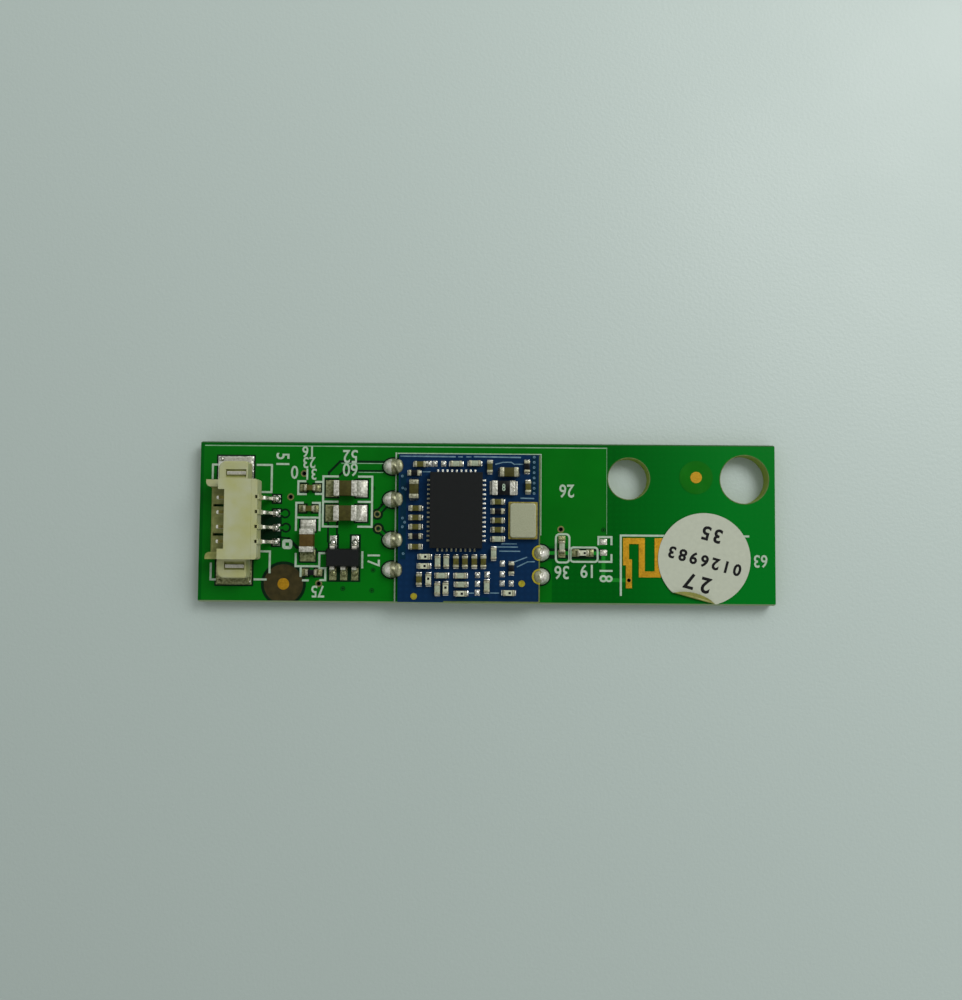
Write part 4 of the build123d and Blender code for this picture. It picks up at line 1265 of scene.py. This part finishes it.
# Groups of chips on the blue board: piece, nodes, ceramic, slot name, solder beyond each end.
MODULE_CHIPS = [
    ("module_capacitors_soldered", "module_capacitor", "pressed_brown_ceramic", "brown_ceramic", 0.13),
    ("reservoir_capacitors_soldered", "reservoir_capacitor", "pressed_umber_ceramic", "brown_ceramic", 0.15),
    ("module_resistors_soldered", "module_resistor", "black_glaze", "black_ceramic", 0.13),
    ("module_coils_soldered", "module_coils", "ferrite_grey_ceramic", "grey_ceramic", 0.13),
    ("module_filters_soldered", "module_filters", "alumina_cream_ceramic", "cream_ceramic", 0.13),
    ("zero_ohm_link_soldered", "zero_ohm_link", "black_glaze", "black_ceramic", 0.2),
]


class WIFI_OT_module_chips(bpy.types.Operator):
    """Chips of the blue board, each softened, capped and soldered"""

    bl_idname = "wifi.module_chips"
    bl_label = "Module chips"

    def execute(self, context):
        for name, start, ceramic, slot, reach in MODULE_CHIPS:
            drawn = bmesh.new()
            nodes = nodes_named(start)
            for box in [box for node in nodes for box in cad_solids(node)]:
                chip(drawn, box, reach, MODULE_CLIMB, 2 if start == "zero_ohm_link" else 1)
                if start == "module_filters":
                    polarity_mark(drawn, box, 0.08, 0.1)
                if start == "zero_ohm_link":
                    middle = (box[0] + box[1]) / 2
                    numbers(drawn, "8", 0.62, middle.xy, 0, box[1].z - 0.03, 0.02, 4, 0.7, 0.008)
            solder = "frosted_solder" if start == "zero_ohm_link" else "reflowed_solder"
            finishes = [ceramic, "fired_end_cap", solder, "black_glaze", "printed_ink"]
            add_piece(name, drawn, finishes, nodes)
        return {"FINISHED"}


class WIFI_OT_bare_lands(bpy.types.Operator):
    """Rounded solder on the lands that carry no chip"""

    bl_idname = "wifi.bare_lands"
    bl_label = "Bare lands"

    def execute(self, context):
        drawn = bmesh.new()
        for low, high in cad_solids("pad_solder"):
            middle = (low + high) / 2
            finish = int(low.z < MODULE_TOP - 0.1)
            block(drawn, low, (high.x, high.y, low.z + 0.06), finish, 0.02)
            length, width = high.x - low.x - 0.04, high.y - low.y - 0.04
            dome(drawn, (middle.x, middle.y, low.z + 0.05), length, width, 0.13, finish, 20)
        add_piece("bare_land_solder", drawn, ["reflowed_solder", "frosted_solder"], ["pad_solder"])
        return {"FINISHED"}


# ---- Sticker


STICKER_CENTRE = (18.82, -3.0)
STICKER_R = 4.0
FOLD_DISTANCE = 3.45
FOLD_ANGLE = 255.0
FLAP_TILT = 12.0
FOLD_R = 0.1
FOLD_STEPS = 8
PAPER_T = 0.05
PAPER_LIFT = 0.06       # of the printed side over the CAD sticker's foot
STICKER_TURN = 165
# Rows of numbers: setting, height, middle and spacing.
STICKER_ROWS = [
    ("top_row", 1.2, (19.5, -0.8), 1.25),
    ("middle_row", 1.0, (18.85, -3.1), 1.4),
    ("bottom_row", 1.35, (18.25, -5.0), 1.5),
]


class WIFI_OT_sticker(bpy.types.Operator):
    """Round paper sticker with one edge folded over and plain numbers on it"""

    bl_idname = "wifi.sticker"
    bl_label = "Sticker"

    def execute(self, context):
        look = context.scene.wifi_sticker
        low, _ = cad_solids("sticker")[0]
        drawn = bmesh.new()
        bmesh.ops.create_circle(drawn, cap_ends=True, segments=128, radius=STICKER_R)
        start = FOLD_DISTANCE - FOLD_R
        for step in range(FOLD_STEPS + 1):
            cut = start + step * math.pi * FOLD_R / FOLD_STEPS
            bmesh.ops.bisect_plane(drawn, geom=everything(drawn), plane_co=(cut, 0, 0), plane_no=(1, 0, 0))
        tilt = math.radians(FLAP_TILT)
        for vert in drawn.verts:
            past = vert.co.x - start
            if past <= 0:
                continue
            turn = min(past / FOLD_R, math.pi - tilt)
            rest = past - turn * FOLD_R
            vert.co.x = start + FOLD_R * math.sin(turn) + rest * math.cos(turn)
            vert.co.z = FOLD_R * (1 - math.cos(turn)) + rest * math.sin(turn)
        top = low.z + PAPER_LIFT
        place = Matrix.Translation((*STICKER_CENTRE, top))
        bmesh.ops.transform(drawn, matrix=place @ Matrix.Rotation(math.radians(FOLD_ANGLE), 4, "Z"), verts=drawn.verts)
        sheet = add_piece("sticker_folded", drawn, ["label_paper", "label_reverse"], ["sticker"])
        for face in sheet.data.polygons:
            face.use_smooth = abs(face.normal.z) < 0.97
        paper = sheet.modifiers.new("Paper thickness", "SOLIDIFY")
        paper.thickness = PAPER_T * MM
        paper.offset = -1
        paper.material_offset = 1
        printed = bmesh.new()
        for row, height, spot, spread in STICKER_ROWS:
            numbers(
                printed, getattr(look, row), height, spot, STICKER_TURN, top - 0.004, 0.012, 0, 1.0, 0.045, spread)
        add_piece("sticker_numbers", printed, ["label_ink"])
        return {"FINISHED"}


# ---- Stage


CAMERA_PLACE = (-0.37, -2.72, 88.43)
CAMERA_TURN = (3.114, 0.094, 0.439)
CAMERA_LENS = 36        # focal length and sensor width, both in millimetres
TABLE_HALF = 600
LAMP_PLACE = (150, 140, 240)
LAMP_SIZE = 160
DARK_AIM = (0.0, -0.1, 0.995)      # middle of the dark ceiling above the camera
DARK_EDGE = (0.88, 0.95)        # cosines from that middle between which it fades in
CEILING = (0.05, 0.05, 0.05, 1)
WALLS = ((0.74, 0.77, 0.75, 1), (1.24, 1.26, 1.24, 1))      # lower left and upper right of the room
ROOM_RISE = (0.25, 1.25)        # share of the room's light at the horizon and high up


class WIFI_OT_stage(bpy.types.Operator):
    """Pale table, soft lamp at the upper right, even room light and the camera"""

    bl_idname = "wifi.stage"
    bl_label = "Stage"

    def execute(self, context):
        scene = context.scene
        look = scene.wifi_stage
        drawn = bmesh.new()
        bmesh.ops.create_grid(drawn, x_segments=2, y_segments=2, size=TABLE_HALF * MM)
        mesh = mesh_of("table", drawn)
        mesh.materials.append(table_top("table_top"))
        put("table", mesh)

        lamp = bpy.data.lights.new("soft_lamp", "AREA")
        lamp.energy = look.lamp_power
        lamp.shape = "DISK"
        lamp.size = LAMP_SIZE * MM
        holder = put("soft_lamp", lamp)
        holder.location = Vector(LAMP_PLACE) * MM
        holder.rotation_mode = "QUATERNION"
        holder.rotation_quaternion = Vector(LAMP_PLACE).to_track_quat("Z", "Y")

        world = bpy.data.worlds.new("room")
        world.use_nodes = True
        tree = world.node_tree
        aim = add_node(tree, "ShaderNodeTexCoord")["Generated"]
        way = add_node(tree, "ShaderNodeSeparateXYZ", {0: aim})
        towards = add_node(tree, "ShaderNodeMath", {0: way["X"], 1: way["Y"]}, operation="ADD")[0]
        share = add_node(tree, "ShaderNodeMapRange", {"Value": towards, "From Min": -1.2, "From Max": 1.2})[0]
        walls = add_node(tree, "ShaderNodeMix", {
            0: share, MIX_A: WALLS[0], MIX_B: WALLS[1]}, data_type="RGBA")[MIX_OUT]
        near = add_node(tree, "ShaderNodeVectorMath", {0: aim, 1: DARK_AIM}, operation="DOT_PRODUCT")["Value"]
        overhead = add_node(tree, "ShaderNodeMapRange", {
            "Value": near, "From Min": DARK_EDGE[0], "From Max": DARK_EDGE[1]})[0]
        light = add_node(tree, "ShaderNodeMix", {
            0: overhead, MIX_A: walls, MIX_B: CEILING}, data_type="RGBA")[MIX_OUT]
        least, most = (rate * look.room_light for rate in ROOM_RISE)
        rise = add_node(tree, "ShaderNodeMapRange", {
            "Value": way["Z"], "From Max": 0.75, "To Min": least, "To Max": most})
        feed(tree, tree.nodes["Background"], {"Color": light, "Strength": rise[0]})
        scene.world = world

        lens = bpy.data.cameras.new("camera")
        lens.lens = lens.sensor_width = CAMERA_LENS
        lens.clip_start = MM
        lens.clip_end = 10
        camera = put("camera", lens)
        camera.location = Vector(CAMERA_PLACE) * MM
        camera.rotation_euler = [math.radians(angle) for angle in CAMERA_TURN]
        scene.camera = camera
        scene.view_settings.view_transform = "Standard"
        return {"FINISHED"}


# ---- Panel, registration and the run


OPERATORS = (
    WIFI_OT_carrier_board,
    WIFI_OT_plated_holes,
    WIFI_OT_printed_lines,
    WIFI_OT_antenna_and_marks,
    WIFI_OT_wire_header,
    WIFI_OT_header_solder,
    WIFI_OT_carrier_chips,
    WIFI_OT_regulator,
    WIFI_OT_radio_board,
    WIFI_OT_castellation_joints,
    WIFI_OT_radio_chip,
    WIFI_OT_crystal,
    WIFI_OT_module_chips,
    WIFI_OT_bare_lands,
    WIFI_OT_sticker,
    WIFI_OT_stage,
)


class WIFI_PT_looks(bpy.types.Panel):
    """Buttons and settings in the 3D view's sidebar"""

    bl_idname = "WIFI_PT_looks"
    bl_label = "Wifi Module"
    bl_space_type = "VIEW_3D"
    bl_region_type = "UI"
    bl_category = "Wifi Module"

    def draw(self, context):
        for group in SETTINGS:
            box = self.layout.box()
            values = getattr(context.scene, group)
            for key in values.__annotations__:
                box.prop(values, key)
        for operator in OPERATORS:
            self.layout.operator(operator.bl_idname)


def register():
    for name, group in SETTINGS.items():
        bpy.utils.register_class(group)
        setattr(bpy.types.Scene, name, bpy.props.PointerProperty(type=group))
    for kind in (*OPERATORS, WIFI_PT_looks):
        bpy.utils.register_class(kind)


def unregister():
    for kind in (WIFI_PT_looks, *reversed(OPERATORS)):
        bpy.utils.unregister_class(kind)
    for name, group in SETTINGS.items():
        delattr(bpy.types.Scene, name)
        bpy.utils.unregister_class(group)


def main():
    """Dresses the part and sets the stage."""
    register()
    for operator in OPERATORS:
        getattr(bpy.ops.wifi, operator.bl_idname.split(".")[1])()


if __name__ == "__main__":
    main()
